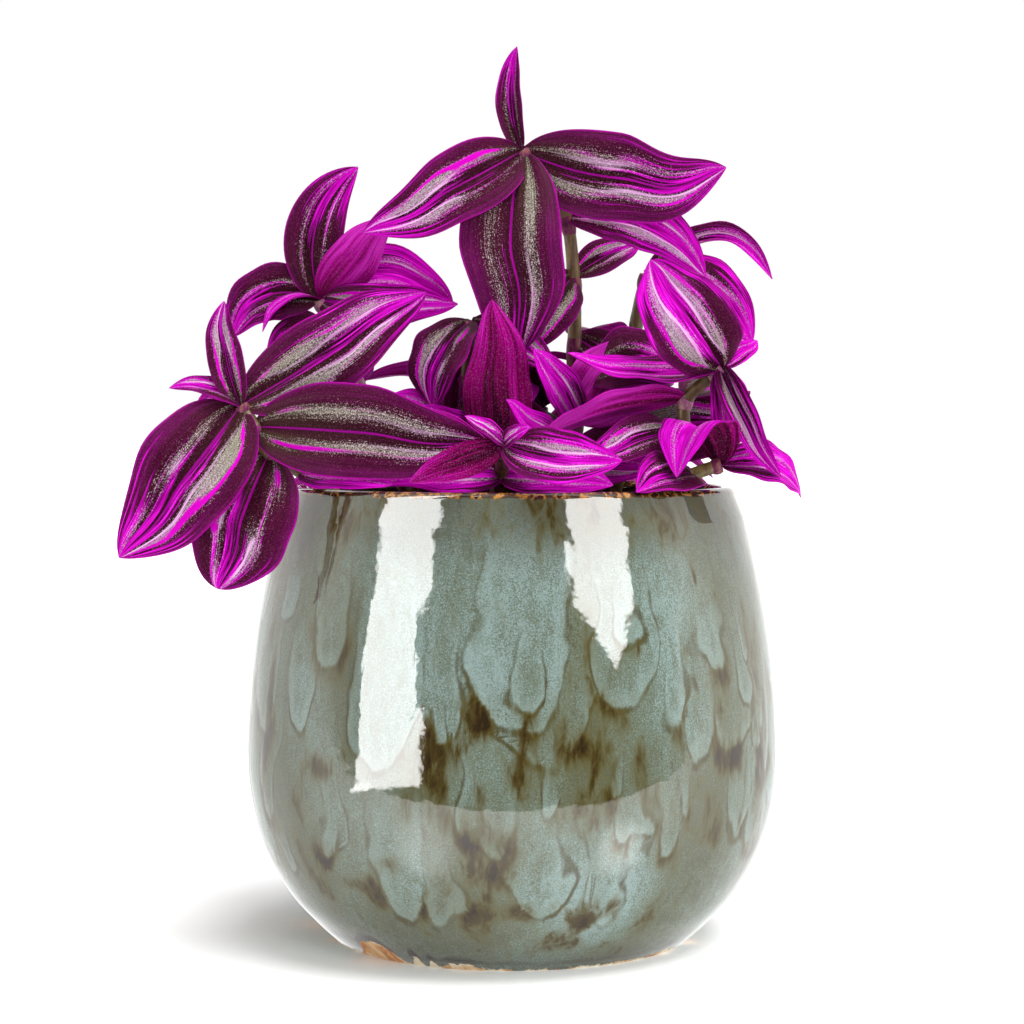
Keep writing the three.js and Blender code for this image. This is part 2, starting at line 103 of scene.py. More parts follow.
# Iron stains on the front: distance across, height, half-width, half-height and strength.
STAINS = [
    (-15.5, 106, 2.5, 7, 0.6),
    (-9.2, 69, 3, 7, 0.85),
    (-22.3, 62, 5.5, 6.5, 1),
    (-29, 49, 2.5, 7, 0.7),
    (-19.6, 51, 3.5, 8, 0.7),
    (-7.3, 41, 2, 9, 0.7),
    (3.5, 61, 2.5, 7, 0.75),
    (13, 69, 3, 8, 0.9),
    (19.3, 65, 4.5, 5, 1),
    (24.5, 76, 3.5, 6, 0.7),
    (21.8, 51, 6, 5, 0.7),
    (27.2, 57, 1.8, 8, 0.8),
    (37, 57, 3.5, 9, 0.85),
    (11, 122, 5, 8, 0.35),
    (20, 95, 2.5, 8, 0.8),
    (-19.6, 92, 3, 5, 0.7),
    (-24, 117, 2, 10, 0.5),
    (-54, 95, 2, 9, 0.7),
    (-46, 95, 2, 9, 0.7),
    (-64, 82, 2.5, 14, 0.6),
    (-50, 121, 5, 12, 0.6),
    (59, 77, 3, 12, 0.8),
    (64, 63, 3, 9, 0.8),
    (61, 59, 4, 3, 1),
    (50, 116, 1.5, 14, 0.5),
    (42, 126, 7, 7, 0.6),
    (66, 98, 2, 20, 0.6),
    (-54, 58, 5, 3, 1.2),
    (-60, 51, 1.5, 5, 0.7),
    (-70, 64, 2, 9, 0.6),
    (-58, 29, 3, 8, 1.1),
    (-53, 22, 3, 5, 1.1),
    (-43, 26, 5, 2, 1.1),
    (-37, 21, 1.5, 5, 0.9),
    (-35, 33, 3, 2, 1),
    (-6, 31, 4, 3, 0.9),
    (-11.4, 19, 4, 3, 1),
    (-8.7, 13, 3, 5, 1.2),
    (2, 20, 7, 2, 1.1),
    (19, 18, 5, 4, 1.3),
    (13, 10, 7, 3, 1.2),
    (40, 17, 3, 6, 0.7),
    (45, 30, 2, 7, 0.8),
    (58, 40, 3, 4, 1),
    (57, 50, 2, 5, 0.7),
]
# Where the clay is bare above the foot's edge: distance across, half-width and height.
FOOT_LINE = 0.6
BARE_PATCHES = [
    (-38, 7, 6.5),
    (-27, 1.5, 2.6),
    (-22.5, 1.2, 2),
    (-14, 5, 1),
    (45, 4, 0.8),
]


def curve_points(points, steps):
    """A smooth curve through points, as (steps + 1, n), with its end slopes carried straight on."""
    points = np.array(points, float)
    padded = np.vstack([2 * points[0] - points[1], points, 2 * points[-1] - points[-2]])
    place = np.linspace(0, len(points) - 1, steps + 1)
    span = np.minimum(place.astype(int), len(points) - 2)
    t = (place - span)[:, None]
    a, b, c, d = (padded[span + k] for k in range(4))
    return (
        (2 * t**3 - 3 * t**2 + 1) * b
        + (t**3 - 2 * t**2 + t) * 0.5 * (c - a)
        + (3 * t**2 - 2 * t**3) * c
        + (t**3 - t**2) * 0.5 * (d - b)
    )


def mottle(points, size, seed, layers=9):
    """Smooth, seeded unevenness of about -1 to 1 over points, with features of about size."""
    draw = np.random.default_rng(seed)
    total = np.zeros(len(points))
    for _ in range(layers):
        way = draw.normal(size=points.shape[1])
        way *= draw.uniform(0.7, 1.6) / np.linalg.norm(way) * math.pi / size
        total += np.sin(points @ way + draw.uniform(0, 2 * math.pi))
    return total * math.sqrt(2 / layers) / 1.6


def smooth(low, high, x):
    """0 below low, 1 above high, and a soft step between."""
    t = np.clip((x - low) / (high - low), 0, 1)
    return t * t * (3 - 2 * t)


def new_object(name, data):
    made = bpy.data.objects.new(name, data)
    bpy.context.scene.collection.objects.link(made)
    return made


def mesh_object(name, points, faces, attributes=None, uv=None, face_slots=None, flat_faces=None):
    """A mesh object from points in millimetres, with values and a UV place for its points, and
    material slots and flat shading for its faces."""
    mesh = bpy.data.meshes.new(name)
    mesh.from_pydata((np.asarray(points) * MM).tolist(), [], faces)
    for key, values in (attributes or {}).items():
        layer = mesh.attributes.new(key, "FLOAT", "POINT")
        layer.data.foreach_set("value", np.asarray(values, np.float32))
    if uv is not None:
        corners = np.zeros(len(mesh.loops), np.int32)
        mesh.loops.foreach_get("vertex_index", corners)
        layer = mesh.uv_layers.new(name="blade")
        layer.data.foreach_set("uv", np.asarray(uv, np.float32)[corners].ravel())
    if face_slots is not None:
        mesh.polygons.foreach_set("material_index", np.asarray(face_slots, np.int32))
    smooth_faces = np.ones(len(mesh.polygons), bool)
    if flat_faces is not None:
        smooth_faces[flat_faces] = False
    mesh.polygons.foreach_set("use_smooth", smooth_faces)
    mesh.update()
    return new_object(name, mesh)


def round_places(profile, sides):
    """The angle, radius and height of each point, where a profile of (radius, height)s turns about Z."""
    angle = np.tile(np.linspace(0, 2 * math.pi, sides, endpoint=False), len(profile))
    return angle, np.repeat(profile[:, 0], sides), np.repeat(profile[:, 1], sides)


def round_points(angle, radius, height):
    return np.stack([radius * np.sin(angle), -radius * np.cos(angle), height], 1)


def revolved_faces(rings, sides):
    """Faces of rings of points about Z, listed from the bottom centre outwards, up and back in."""
    k = np.arange(sides)
    right = (k + 1) % sides
    near = (np.arange(rings - 1) * sides)[:, None]
    bands = np.stack([near + k, near + right, near + sides + right, near + sides + k], 2).reshape(-1, 4)
    top = (rings - 1) * sides
    return bands.tolist() + [list(range(sides - 1, -1, -1)), list(range(top, top + sides))]


outline = curve_points(POT_OUTLINE, 600)


def outer_radius(height):
    return np.interp(height, outline[:, 1], outline[:, 0])


def glaze_on_pot(angle, height):
    """What the glaze does at each place: how thick it lies, and by name how blue it is, how brown
    with stains and, below the lip, with painted shade, how far it is outside the nearest tongue and how
    dark that one's edge is, and how far it is below the glaze's lower edge. Distances are in millimetres."""
    radius = outer_radius(height)
    place = np.stack([radius * np.sin(angle), radius * np.cos(angle), height * 0.5], 1)
    sway = sum(amount * mottle(place, size, seed) for amount, size, seed in TONGUE_SWAY)
    drift = 3.0 * mottle(place, 18, 12)
    draw = np.random.default_rng(5)

    def across_from(turn):
        """How far each place lies to one side of a heading, round the pot."""
        return (np.remainder(angle - turn + math.pi, 2 * math.pi) - math.pi) * radius

    tongues = [
        (math.asin(x / outer_radius(low + w)), low, w, top, tone) for x, low, w, top, tone in TONGUES
    ]
    for _ in range(UNSEEN_TONGUES):
        w = draw.uniform(4, 11)
        low = draw.uniform(8, 92)
        top = min(low + draw.uniform(30, 62), 130)
        tongues.append((draw.uniform(1.1, 2 * math.pi - 1.1), low, w, top, draw.uniform(0.1, 1)))
    blue = 0.34 + 0.35 * mottle(place, 24, 13)
    edge = np.full(len(angle), 20.0)
    lining = np.zeros(len(angle))
    iron_and_shade = np.zeros(len(angle))
    thick = np.zeros(len(angle))
    # Small ones lie all round, also in front.
    for _ in range(SMALL_TONGUES):
        low = draw.uniform(12, 100)
        top = low + draw.uniform(15, 40)
        turn = draw.uniform(0, 2 * math.pi)
        tongues.append((turn, low, draw.uniform(2.5, 5.5), top, draw.uniform(0.2, 0.9)))
    for middle, low, w, top, tone in sorted(tongues, key=lambda t: t[1] - 2 * t[2]):
        across = across_from(middle) + sway
        # Tongues narrow to a blunt point below.
        down = (low + 1.6 * w - (height + drift)) / 1.6
        below = np.maximum(down, 0)
        away = np.hypot(across, below) - w
        # Each fades out upwards, and its edge shows only round the lower end.
        fade = smooth(top - 30, top, height + drift)
        inside = (1 - smooth(-2.5, 0.5, away)) * (1 - fade)
        nearest = ((away < 0) | (away < np.minimum(3, np.abs(edge)))) & (down > -2.5 * w)
        edge = np.where(nearest, away, edge)
        lining = np.where(nearest, smooth(-2.5 * w, 0.6 * w, down), lining)
        # Iron gathers just outside it.
        reach = np.where(away < 0, 0.6, 3)
        heel = np.exp(-((away / reach) ** 2)) * smooth(-0.4 * w, 0.7 * w, down) * (1 - fade)
        blue = blue * (1 - 0.55 * inside) + 0.55 * inside * (tone + 0.25 * np.exp(-((away / 3) ** 2)))
        iron_and_shade = iron_and_shade * (1 - 0.5 * inside) + 0.62 * heel * np.clip(0.5 + 0.8 * mottle(place, 7, 14), 0, 2)
        thick = thick * (1 - 0.6 * inside) + inside * smooth(0, 4, np.abs(away))
    stains = [(math.asin(x / outer_radius(z)), z, w, h, s) for x, z, w, h, s in STAINS]
    for _ in range(UNSEEN_STAINS):
        w = draw.uniform(1.5, 4)
        h = w * draw.uniform(1.5, 5)
        stains.append((draw.uniform(1.05, 5.23), draw.uniform(8, 126), w, h, draw.uniform(0.4, 1)))
    # Faint ones lie everywhere, most of them at the widest part.
    for _ in range(FAINT_STAINS):
        w = draw.uniform(1, 2.6)
        h = w * draw.uniform(2, 6)
        stains.append((draw.uniform(0, 2 * math.pi), draw.normal(58, 26), w, h, draw.uniform(0.15, 0.5)))
    ragged = np.clip(1 + 0.35 * mottle(place, 9, 15) + 0.2 * mottle(place, 3.2, 16), 0.4, 2)
    for middle, z, w, h, strength in stains:
        across = across_from(middle) + 0.4 * sway
        near = (across / w) ** 2 + ((height - z + 0.2 * drift) / h) ** 2
        iron_and_shade = iron_and_shade + 0.7 * strength * np.exp(-near / (1.9 * ragged))
    # Iron gathers in a loose belt where the pot is widest.
    iron_and_shade = iron_and_shade + 0.12 * np.exp(-(((height - 50) / 13 + 0.5 * mottle(place, 16, 22)) ** 2))
    # Below the lip it is darker and browner: painted shade, and a painted reflection of the plant above it.
    iron_and_shade = iron_and_shade + 0.45 * smooth(114, 131, height) * (1 + 0.8 * mottle(place, 9, 23))
    swell = sum(amount * mottle(place, size, seed) for amount, size, seed in GLAZE_SWELL)
    foot = FOOT_LINE + 0.35 * mottle(place, 9, 20)
    for x, w, h in BARE_PATCHES:
        across = across_from(math.asin(x / outer_radius(2)))
        foot = foot + h * np.exp(-((across / w) ** 4)) * (1 + 0.25 * mottle(place, 5, 21))
    for _ in range(UNSEEN_BARE_PATCHES):
        across = across_from(draw.uniform(1.2, 5.1))
        foot = foot + draw.uniform(0.5, 5) * np.exp(-((across / draw.uniform(1.5, 7)) ** 4))
    colours = {"blue": np.clip(blue, 0, 1), "iron_and_shade": np.clip(iron_and_shade, 0, 1.3), "edge": edge, "lining": lining}
    return thick + swell, {**colours, "bare": foot - height}


def pot_piece():
    wall_top = POT_HEIGHT - LIP_RADIUS
    lip_middle = POT_OUTLINE[-1][0] - LIP_INSET - LIP_RADIUS
    under = [(r, 0) for r in (NO_RADIUS, 20, 40, 50)]
    outside = curve_points(POT_OUTLINE, RINGS_OUTSIDE).tolist()
    lip = [
        (lip_middle + LIP_RADIUS * math.cos(a), wall_top + LIP_RADIUS * math.sin(a))
        for a in np.linspace(0, math.pi, 13)
    ]
    inside = [(outer_radius(z) - WALL, z) for z in (127, 120, 112, 104, 84, 62, 44, 28, 16)]
    bottom = [(outer_radius(FLOOR) - WALL - BASE_INSET, FLOOR), (NO_RADIUS, FLOOR)]
    profile = np.array(under + outside + lip + inside + bottom)
    rings = len(profile)
    angle, radius, height = round_places(profile, SIDES_ROUND)
    thick, values = glaze_on_pot(angle, height)
    # No line is drawn where the nearest tongue changes from one point to the next.
    edge = values["edge"].reshape(rings, SIDES_ROUND)
    changes = np.zeros(edge.shape, bool)
    for step, axis in ((1, 0), (-1, 0), (1, 1), (-1, 1)):
        changes |= np.abs(edge - np.roll(edge, step, axis)) > EDGE_STEP
    values["lining"] = np.where(changes.ravel(), 0, values["lining"])
    ring = np.repeat(np.arange(rings), SIDES_ROUND)
    on_wall = (ring >= len(under)) & (ring < len(under) + len(outside))
    radius += GLAZE_LIFT * (thick - 1.5) * on_wall * smooth(1, 6, height) * (1 - smooth(118, 126, height))
    points = round_points(angle, radius, height)
    return mesh_object("pot_glazed", points, revolved_faces(rings, SIDES_ROUND), values)


def linear(hex_colour):
    """An sRGB hex colour as linear RGBA."""
    parts = [int(hex_colour[k : k + 2], 16) / 255 for k in (1, 3, 5)]
    return tuple(c / 12.92 if c <= 0.04045 else ((c + 0.055) / 1.055) ** 2.4 for c in parts) + (1.0,)


def fill(node, inputs):
    """Gives a node's inputs, by name or by number, values or the outputs of other nodes."""
    for key, value in inputs.items():
        if isinstance(value, bpy.types.NodeSocket):
            node.id_data.links.new(value, node.inputs[key])
        else:
            node.inputs[key].default_value = value


def add(tree, kind, *values, stops=None, output=None, **settings):
    """Adds a node and gives its named output, or else its first one in use. kind is its type, and its
    operation after a space. values are its inputs' values in their order, or a dict of them, and may be
    other nodes' outputs. stops are a colour ramp's (place, hex colour)s. The rest are its settings."""
    kind, _, operation = kind.partition(" ")
    node = tree.nodes.new(kind if "Node" in kind else f"ShaderNode{kind}")
    if operation:
        node.operation = operation
    for key, value in settings.items():
        setattr(node, key, value)
    fill(node, values[0] if values and isinstance(values[0], dict) else dict(enumerate(values)))
    if stops:
        while len(node.color_ramp.elements) < len(stops):
            node.color_ramp.elements.new(1)
        for element, (place, colour) in zip(node.color_ramp.elements, stops):
            element.position = place
            element.color = linear(colour)
    return node.outputs[output] if output else next(socket for socket in node.outputs if socket.enabled)


# The colour inputs of a Mix node.
MIX_A = 6
MIX_B = 7
# Makes a Map Range node ease in and out. Its inputs are the value, the range it is in and the new one.
SOFT = {"interpolation_type": "SMOOTHSTEP"}


def new_material(name):
    material = bpy.data.materials.new(name)
    material.use_nodes = True
    return material, material.node_tree, material.node_tree.nodes["Principled BSDF"]


def glaze_material():
    """Reactive stoneware glaze: glassy, with soft clouds of blue-green and grey, olive to brown stains,
    narrow dark lines where tongues of it end, painted shade below the lip, and bare cream clay at the foot."""
    material, tree, shader = new_material("reactive_stoneware_glaze")
    place = add(tree, "TexCoord", output="Object")
    height = add(tree, "SeparateXYZ", place, output="Z")
    blue, iron_and_shade, edge, lining, bare = (
        add(tree, "Attribute", attribute_name=name, output="Fac")
        for name in ("blue", "iron_and_shade", "edge", "lining", "bare")
    )
    # Runs are about 3 mm wide and three times as long.
    stretched = add(tree, "Mapping", {"Vector": place, "Scale": (1, 1, 0.33)})
    runs = add(
        tree,
        "TexNoise",
        {"Vector": stretched, "Scale": 300, "Detail": 5, "Roughness": 0.6, "Distortion": 0.6},
    )
    # Clouds of iron are about 8 mm wide.
    clouds = add(
        tree,
        "TexNoise",
        {"Vector": stretched, "Scale": 115, "Detail": 4, "Roughness": 0.55, "Distortion": 0.8},
    )
    # Crystals in the glaze are under 0.5 mm.
    grain = add(tree, "TexNoise", {"Vector": place, "Scale": 2300, "Detail": 3, "Roughness": 0.7})
    run_shift = add(tree, "Math MULTIPLY_ADD", runs, 1.3, -0.65)
    grain_shift = add(tree, "Math MULTIPLY_ADD", grain, 2.8, -1.4)
    uneven = add(tree, "Math ADD", run_shift, grain_shift)
    # The glaze is a little lighter and bluer above the widest part.
    lower = add(tree, "MapRange", height, 0.035, 0.08, 0.0, 0.04, **SOFT)
    shifted = add(tree, "Math ADD", blue, lower)
    tone = add(tree, "Math ADD", shifted, uneven)
    base = add(
        tree,
        "ValToRGB",
        tone,
        stops=[
            (0.0, "#575a47"), (0.25, "#666a57"), (0.5, "#6a7669"), (0.75, "#74867e"), (1.0, "#8c9f9c")
        ],
    )
    # A tongue ends in a light roll with a thin dark line round it, about 1 mm wide and broken.
    wander = add(tree, "Math MULTIPLY_ADD", runs, 2.2, -1.1)
    past_tongue = add(tree, "Math ADD", edge, wander)
    near_edge = add(tree, "Math ABSOLUTE", past_tongue)
    line = add(tree, "MapRange", near_edge, 0.12, 0.9, 0.95, 0.0, **SOFT)
    broken = add(tree, "MapRange", clouds, 0.36, 0.52, 0.3, **SOFT)
    lower_line = add(tree, "Math MULTIPLY", line, lining)
    drawn_line = add(tree, "Math MULTIPLY", lower_line, broken)
    inside = add(tree, "MapRange", past_tongue, -0.1, -0.5)
    swelling = add(tree, "MapRange", past_tongue, -4.0, -0.5, 0.0, 0.3, **SOFT)
    rolled_all = add(tree, "Math MULTIPLY", inside, swelling)
    rolled = add(tree, "Math MULTIPLY", rolled_all, lining)
    cloudy = add(tree, "MapRange", clouds, 0.5, 0.74, 0.0, 0.5, **SOFT)
    # These stains also carry the painted shade below the lip.
    all_iron_and_shade = add(tree, "Math ADD", iron_and_shade, cloudy)
    streaked = add(tree, "Math MULTIPLY_ADD", run_shift, 1.7, all_iron_and_shade)
    stain_and_shade = add(tree, "Math MULTIPLY_ADD", grain_shift, 0.18, streaked)
    rust_and_shade_depth = add(tree, "Math MULTIPLY", stain_and_shade, 0.7)
    amount = add(tree, "MapRange", stain_and_shade, 0.14, 1.15, **SOFT)
    rust_and_shade = add(
        tree,
        "ValToRGB",
        rust_and_shade_depth,
        stops=[
            (0.1, "#6b7052"), (0.32, "#625f38"), (0.58, "#524820"), (0.84, "#3f3318"), (1.0, "#2e2212")
        ],
    )
    # Below the lip it is darker and browner: painted shade, and a painted reflection of the plant above it.
    painted_lip_shade = add(tree, "MapRange", height, 0.108, 0.131, 0.0, 0.62, **SOFT)
    # The lip's crown, 2 mm wide, is burnt brown with orange breaks.
    breaks = add(tree, "TexNoise", {"Vector": place, "Scale": 260, "Detail": 3})
    ragged_height = add(tree, "Math MULTIPLY_ADD", breaks, 0.0022, height)
    on_lip = add(tree, "MapRange", ragged_height, 0.1343, 0.1349)
    burnt = add(
        tree,
        "ValToRGB",
        breaks,
        stops=[(0.38, "#2c1c16"), (0.5, "#5a3a22"), (0.56, "#c98a3e"), (0.62, "#3a2418")],
    )
    # The glaze ends above the foot in a dark brown edge, and below it the cream clay is bare.
    frayed = add(tree, "Math MULTIPLY_ADD", runs, 4.0, -2.0)
    past_edge = add(tree, "Math ADD", bare, frayed)
    scorched = add(tree, "MapRange", past_edge, -3.2, -1.6)
    on_wall = add(tree, "MapRange", height, 0.0018, 0.0035)
    scorch = add(tree, "Math MULTIPLY", scorched, on_wall)
    clay = add(
        tree,
        "ValToRGB",
        clouds,
        stops=[(0.36, "#ad6a30"), (0.45, "#d9b280"), (0.53, "#efe0c4"), (0.68, "#f6ecda")],
    )
    unglazed = add(tree, "MapRange", past_edge, -0.1, 0.25)
    # Each lies over the last: how much of it shows, and its colour.
    layers = [
        (rolled, linear("#98aca5")),
        (drawn_line, linear("#484227")),
        (painted_lip_shade, linear("#4b463c")),
        (amount, rust_and_shade),
        (on_lip, burnt),
        (scorch, linear("#2f1c10")),
        (unglazed, clay),
    ]
    colour = base
    for share, over in layers:
        colour = add(tree, "Mix", {0: share, MIX_A: colour, MIX_B: over}, data_type="RGBA")
    dull = add(tree, "MapRange", past_edge, -0.1, 0.15, 0.04, 0.7)
    # The surface undulates over about 10 mm.
    ripple = add(tree, "TexNoise", {"Vector": place, "Scale": 100, "Detail": 3, "Roughness": 0.45})
    bump = add(tree, "Bump", {"Height": ripple, "Strength": 0.16, "Distance": 0.001})
    fill(shader, {"Base Color": colour, "Roughness": dull, "Normal": bump, "IOR": 1.55})
    return material


pot = pot_piece()
pot.data.materials.append(glaze_material())
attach(pot, "root")
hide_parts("pot")

# ---- The soil ----
# Potting soil, dark and crumbly, that fills the pot to below the lip. It is heaped a little in the
# middle, and loose crumbs of peat and bark lie on it.
SOIL_TOP = 118
SOIL_DOME = 3
SOIL_GAP = 0.3
SOIL_SIDES = 120
SOIL_LUMPS = [(0.7, 9, 21), (0.5, 4, 22), (0.3, 2.2, 23)]
CRUMB_SIZE = 1.3
CRUMBS_PER_M2 = 50000.0


def soil_piece():
    side = [(outer_radius(z) - WALL - SOIL_GAP, z) for z in (16, 28, 44, 62, 84, 104, SOIL_TOP - 1)]
    edge = side[-1][0]
    foot = outer_radius(FLOOR) - WALL - BASE_INSET - SOIL_GAP
    bottom = [(NO_RADIUS, FLOOR + SOIL_GAP), (foot, FLOOR + SOIL_GAP)]
    shares = np.append(np.linspace(0.98, 0.04, 34), 0.001)
    top = [(edge * s, SOIL_TOP + SOIL_DOME * (1 - s**2.2)) for s in shares]
    profile = np.array(bottom + side + top)
    angle, radius, height = round_places(profile, SOIL_SIDES)
    points = round_points(angle, radius, height)
    lumps = sum(amount * mottle(points, size, seed) for amount, size, seed in SOIL_LUMPS)
    points[:, 2] += lumps * (height > SOIL_TOP - 0.5)
    return mesh_object("soil_filling", points, revolved_faces(len(profile), SOIL_SIDES))


def new_tree(name, inputs):
    """A geometry node tree with named inputs after its geometry: (name, socket type, value)."""
    tree = bpy.data.node_groups.new(name, "GeometryNodeTree")
    tree.interface.new_socket("Geometry", in_out="INPUT", socket_type="NodeSocketGeometry")
    for label, kind, value in inputs:
        socket = tree.interface.new_socket(label, in_out="INPUT", socket_type=kind)
        if value is not None:
            socket.default_value = value
    tree.interface.new_socket("Geometry", in_out="OUTPUT", socket_type="NodeSocketGeometry")
    return tree, tree.nodes.new("NodeGroupInput").outputs


def grow(source, tree, name, values):
    """Runs a node tree on an object and keeps the result as a plain mesh object of its own."""
    modifier = source.modifiers.new("growth", "NODES")
    modifier.node_group = tree
    for item in tree.interface.items_tree:
        if item.in_out == "INPUT" and item.name in values:
            modifier[item.identifier] = values[item.name]
    evaluated = source.evaluated_get(bpy.context.evaluated_depsgraph_get())
    mesh = bpy.data.meshes.new_from_object(evaluated)
    mesh.name = name
    source.modifiers.remove(modifier)
    return new_object(name, mesh)


def crumb_tree():
    """Lumpy little stones of soil on all upward faces that are clear of the pot's wall."""
    tree, given = new_tree(
        "soil_crumbs",
        [
            ("Density", "NodeSocketFloat", CRUMBS_PER_M2),
            ("Size", "NodeSocketFloat", CRUMB_SIZE * MM),
            ("Reach", "NodeSocketFloat", (outer_radius(SOIL_TOP) - WALL - 2 * CRUMB_SIZE) * MM),
            ("Material", "NodeSocketMaterial", None),
        ],
    )
    place = add(tree, "GeometryNodeInputPosition")
    level = add(tree, "VectorMath MULTIPLY", place, (1, 1, 0))
    off_middle = add(tree, "VectorMath LENGTH", level, output="Value")
    off_wall = add(tree, "FunctionNodeCompare LESS_THAN", off_middle, given["Reach"])
    normal = add(tree, "GeometryNodeInputNormal")
    upward = add(tree, "SeparateXYZ", normal, output="Z")
    facing = add(tree, "FunctionNodeCompare GREATER_THAN", upward, 0.5)
    top = add(tree, "FunctionNodeBooleanMath AND", facing, off_wall)
    spots = add(
        tree,
        "GeometryNodeDistributePointsOnFaces",
        {"Mesh": given["Geometry"], "Selection": top, "Density": given["Density"], "Seed": 4},
    )
    ball = add(tree, "GeometryNodeMeshIcoSphere", {"Radius": 0.5, "Subdivisions": 2})
    rough = add(
        tree,
        "TexNoise",
        {"Vector": place, "Scale": 1.6, "Detail": 1.0},
        noise_dimensions="3D",
        output="Color",
    )
    shift = add(tree, "VectorMath ADD", rough, (-0.5, -0.5, -0.5))
    lump = add(tree, "GeometryNodeSetPosition", {"Geometry": ball, "Offset": shift})
    spin = add(
        tree,
        "FunctionNodeRandomValue",
        {"Min": (0, 0, 0), "Max": (6.28, 6.28, 6.28), "Seed": 5},
        data_type="FLOAT_VECTOR",
    )
    small = add(tree, "FunctionNodeRandomValue", {2: 0.25, 3: 1.0, "Seed": 6}, data_type="FLOAT")
    size = add(tree, "Math MULTIPLY", small, given["Size"])
    crumbs = add(
        tree,
        "GeometryNodeInstanceOnPoints",
        {"Points": spots, "Instance": lump, "Rotation": spin, "Scale": size},
    )
    real = add(tree, "GeometryNodeRealizeInstances", {"Geometry": crumbs})
    made = add(tree, "GeometryNodeSetMaterial", {"Geometry": real, "Material": given["Material"]})
    tree.links.new(made, tree.nodes.new("NodeGroupOutput").inputs["Geometry"])
    return tree


def soil_material():
    """Moist peat: nearly black-brown and matt, with lighter fibres and grains."""
    material, tree, shader = new_material("moist_peat_soil")
    place = add(tree, "TexCoord", output="Object")
    # Grains are about 1 mm.
    grains = add(tree, "TexNoise", {"Vector": place, "Scale": 900, "Detail": 5, "Roughness": 0.7})
    colour = add(
        tree,
        "ValToRGB",
        grains,
        stops=[(0.3, "#140d09"), (0.5, "#2b1d14"), (0.66, "#4a3422"), (0.75, "#6b4d33")],
    )
    bump = add(tree, "Bump", {"Height": grains, "Strength": 0.8, "Distance": 0.0008})
    fill(shader, {"Base Color": colour, "Normal": bump, "Roughness": 0.9})
    return material


peat = soil_material()
soil = soil_piece()
crumbs = grow(soil, crumb_tree(), "soil_crumbs", {"Material": peat})
soil.data.materials.append(peat)
for piece in (soil, crumbs):
    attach(piece, "root")
    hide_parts("soil")

# ---- The leafy shoots ----
# Soft, juicy stems that bend from joint to joint. A leaf grows at each joint, with a thin pale
# sheath round the stem at its foot. Leaves are folded a little along the middle and pointed.
STEM_START = 4
STEM_DEPTH = 18
STEM_RADIUS = 1.9
JOINT_RADIUS = 2.2
STEPS_PER_JOINT = 12
# How long a swollen joint is, as a share of the way to the next, how the stem narrows at its end,
# and how its sheaths stand off it.
JOINT_LENGTH = 0.12
STEM_END = (0.95, 0.85, 0.7)
SHEATH_STEPS = 4
SHEATH_GAP = 0.1
SHEATH_SWELL = 0.45
BLADE_THICKNESS = 0.5
HEEL_HALF_WIDTH = 1.5
TIP_HALF_WIDTH = 0.25
WIDEST_AT = 0.42
BASE_FULLNESS = 0.58
# How much each half of a blade bulges and its edge waves, as shares of its half-width, and how much
# of a leaf's length its end bends aside where nothing else is said.
BULGE = 0.13
RUFFLE = 0.07
BEND = 0.035
# A leaf in another's way was turned about its base, in steps of this many degrees all ways round.
TURN_STEP = 4
TURN_RINGS = 10
TURNS_IN_RING = 8
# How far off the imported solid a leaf's tip may be found, in millimetres.
FOUND_WITHIN = 0.15
CAD_HALF_THICKNESS = 0.4

# How far the end of a leaf bends aside, in millimetres, where the photo shows it.
HOOKS = {
    ("shoot_crown", 1): 3.0,
    ("shoot_crown", 2): -1.5,
    ("shoot_left", 0): -1.5,
    ("shoot_left", 1): 1.5,
    ("shoot_back_3", 4): 0.0,
}

# Two leaves at the right have wavier edges than the rest, by this factor.
WAVY = {("shoot_right", 0): 3.2, ("shoot_right", 2): 2.0}

# How much magenta and how much silver each look has, from 0 to 1.
LOOKS = {
    "old": (0.12, 0.85),
    "plum": (0.48, 0.0),
    "striped": (0.45, 0.95),
    "bright": (0.72, 0.85),
    "magenta": (0.95, 0.22),
}

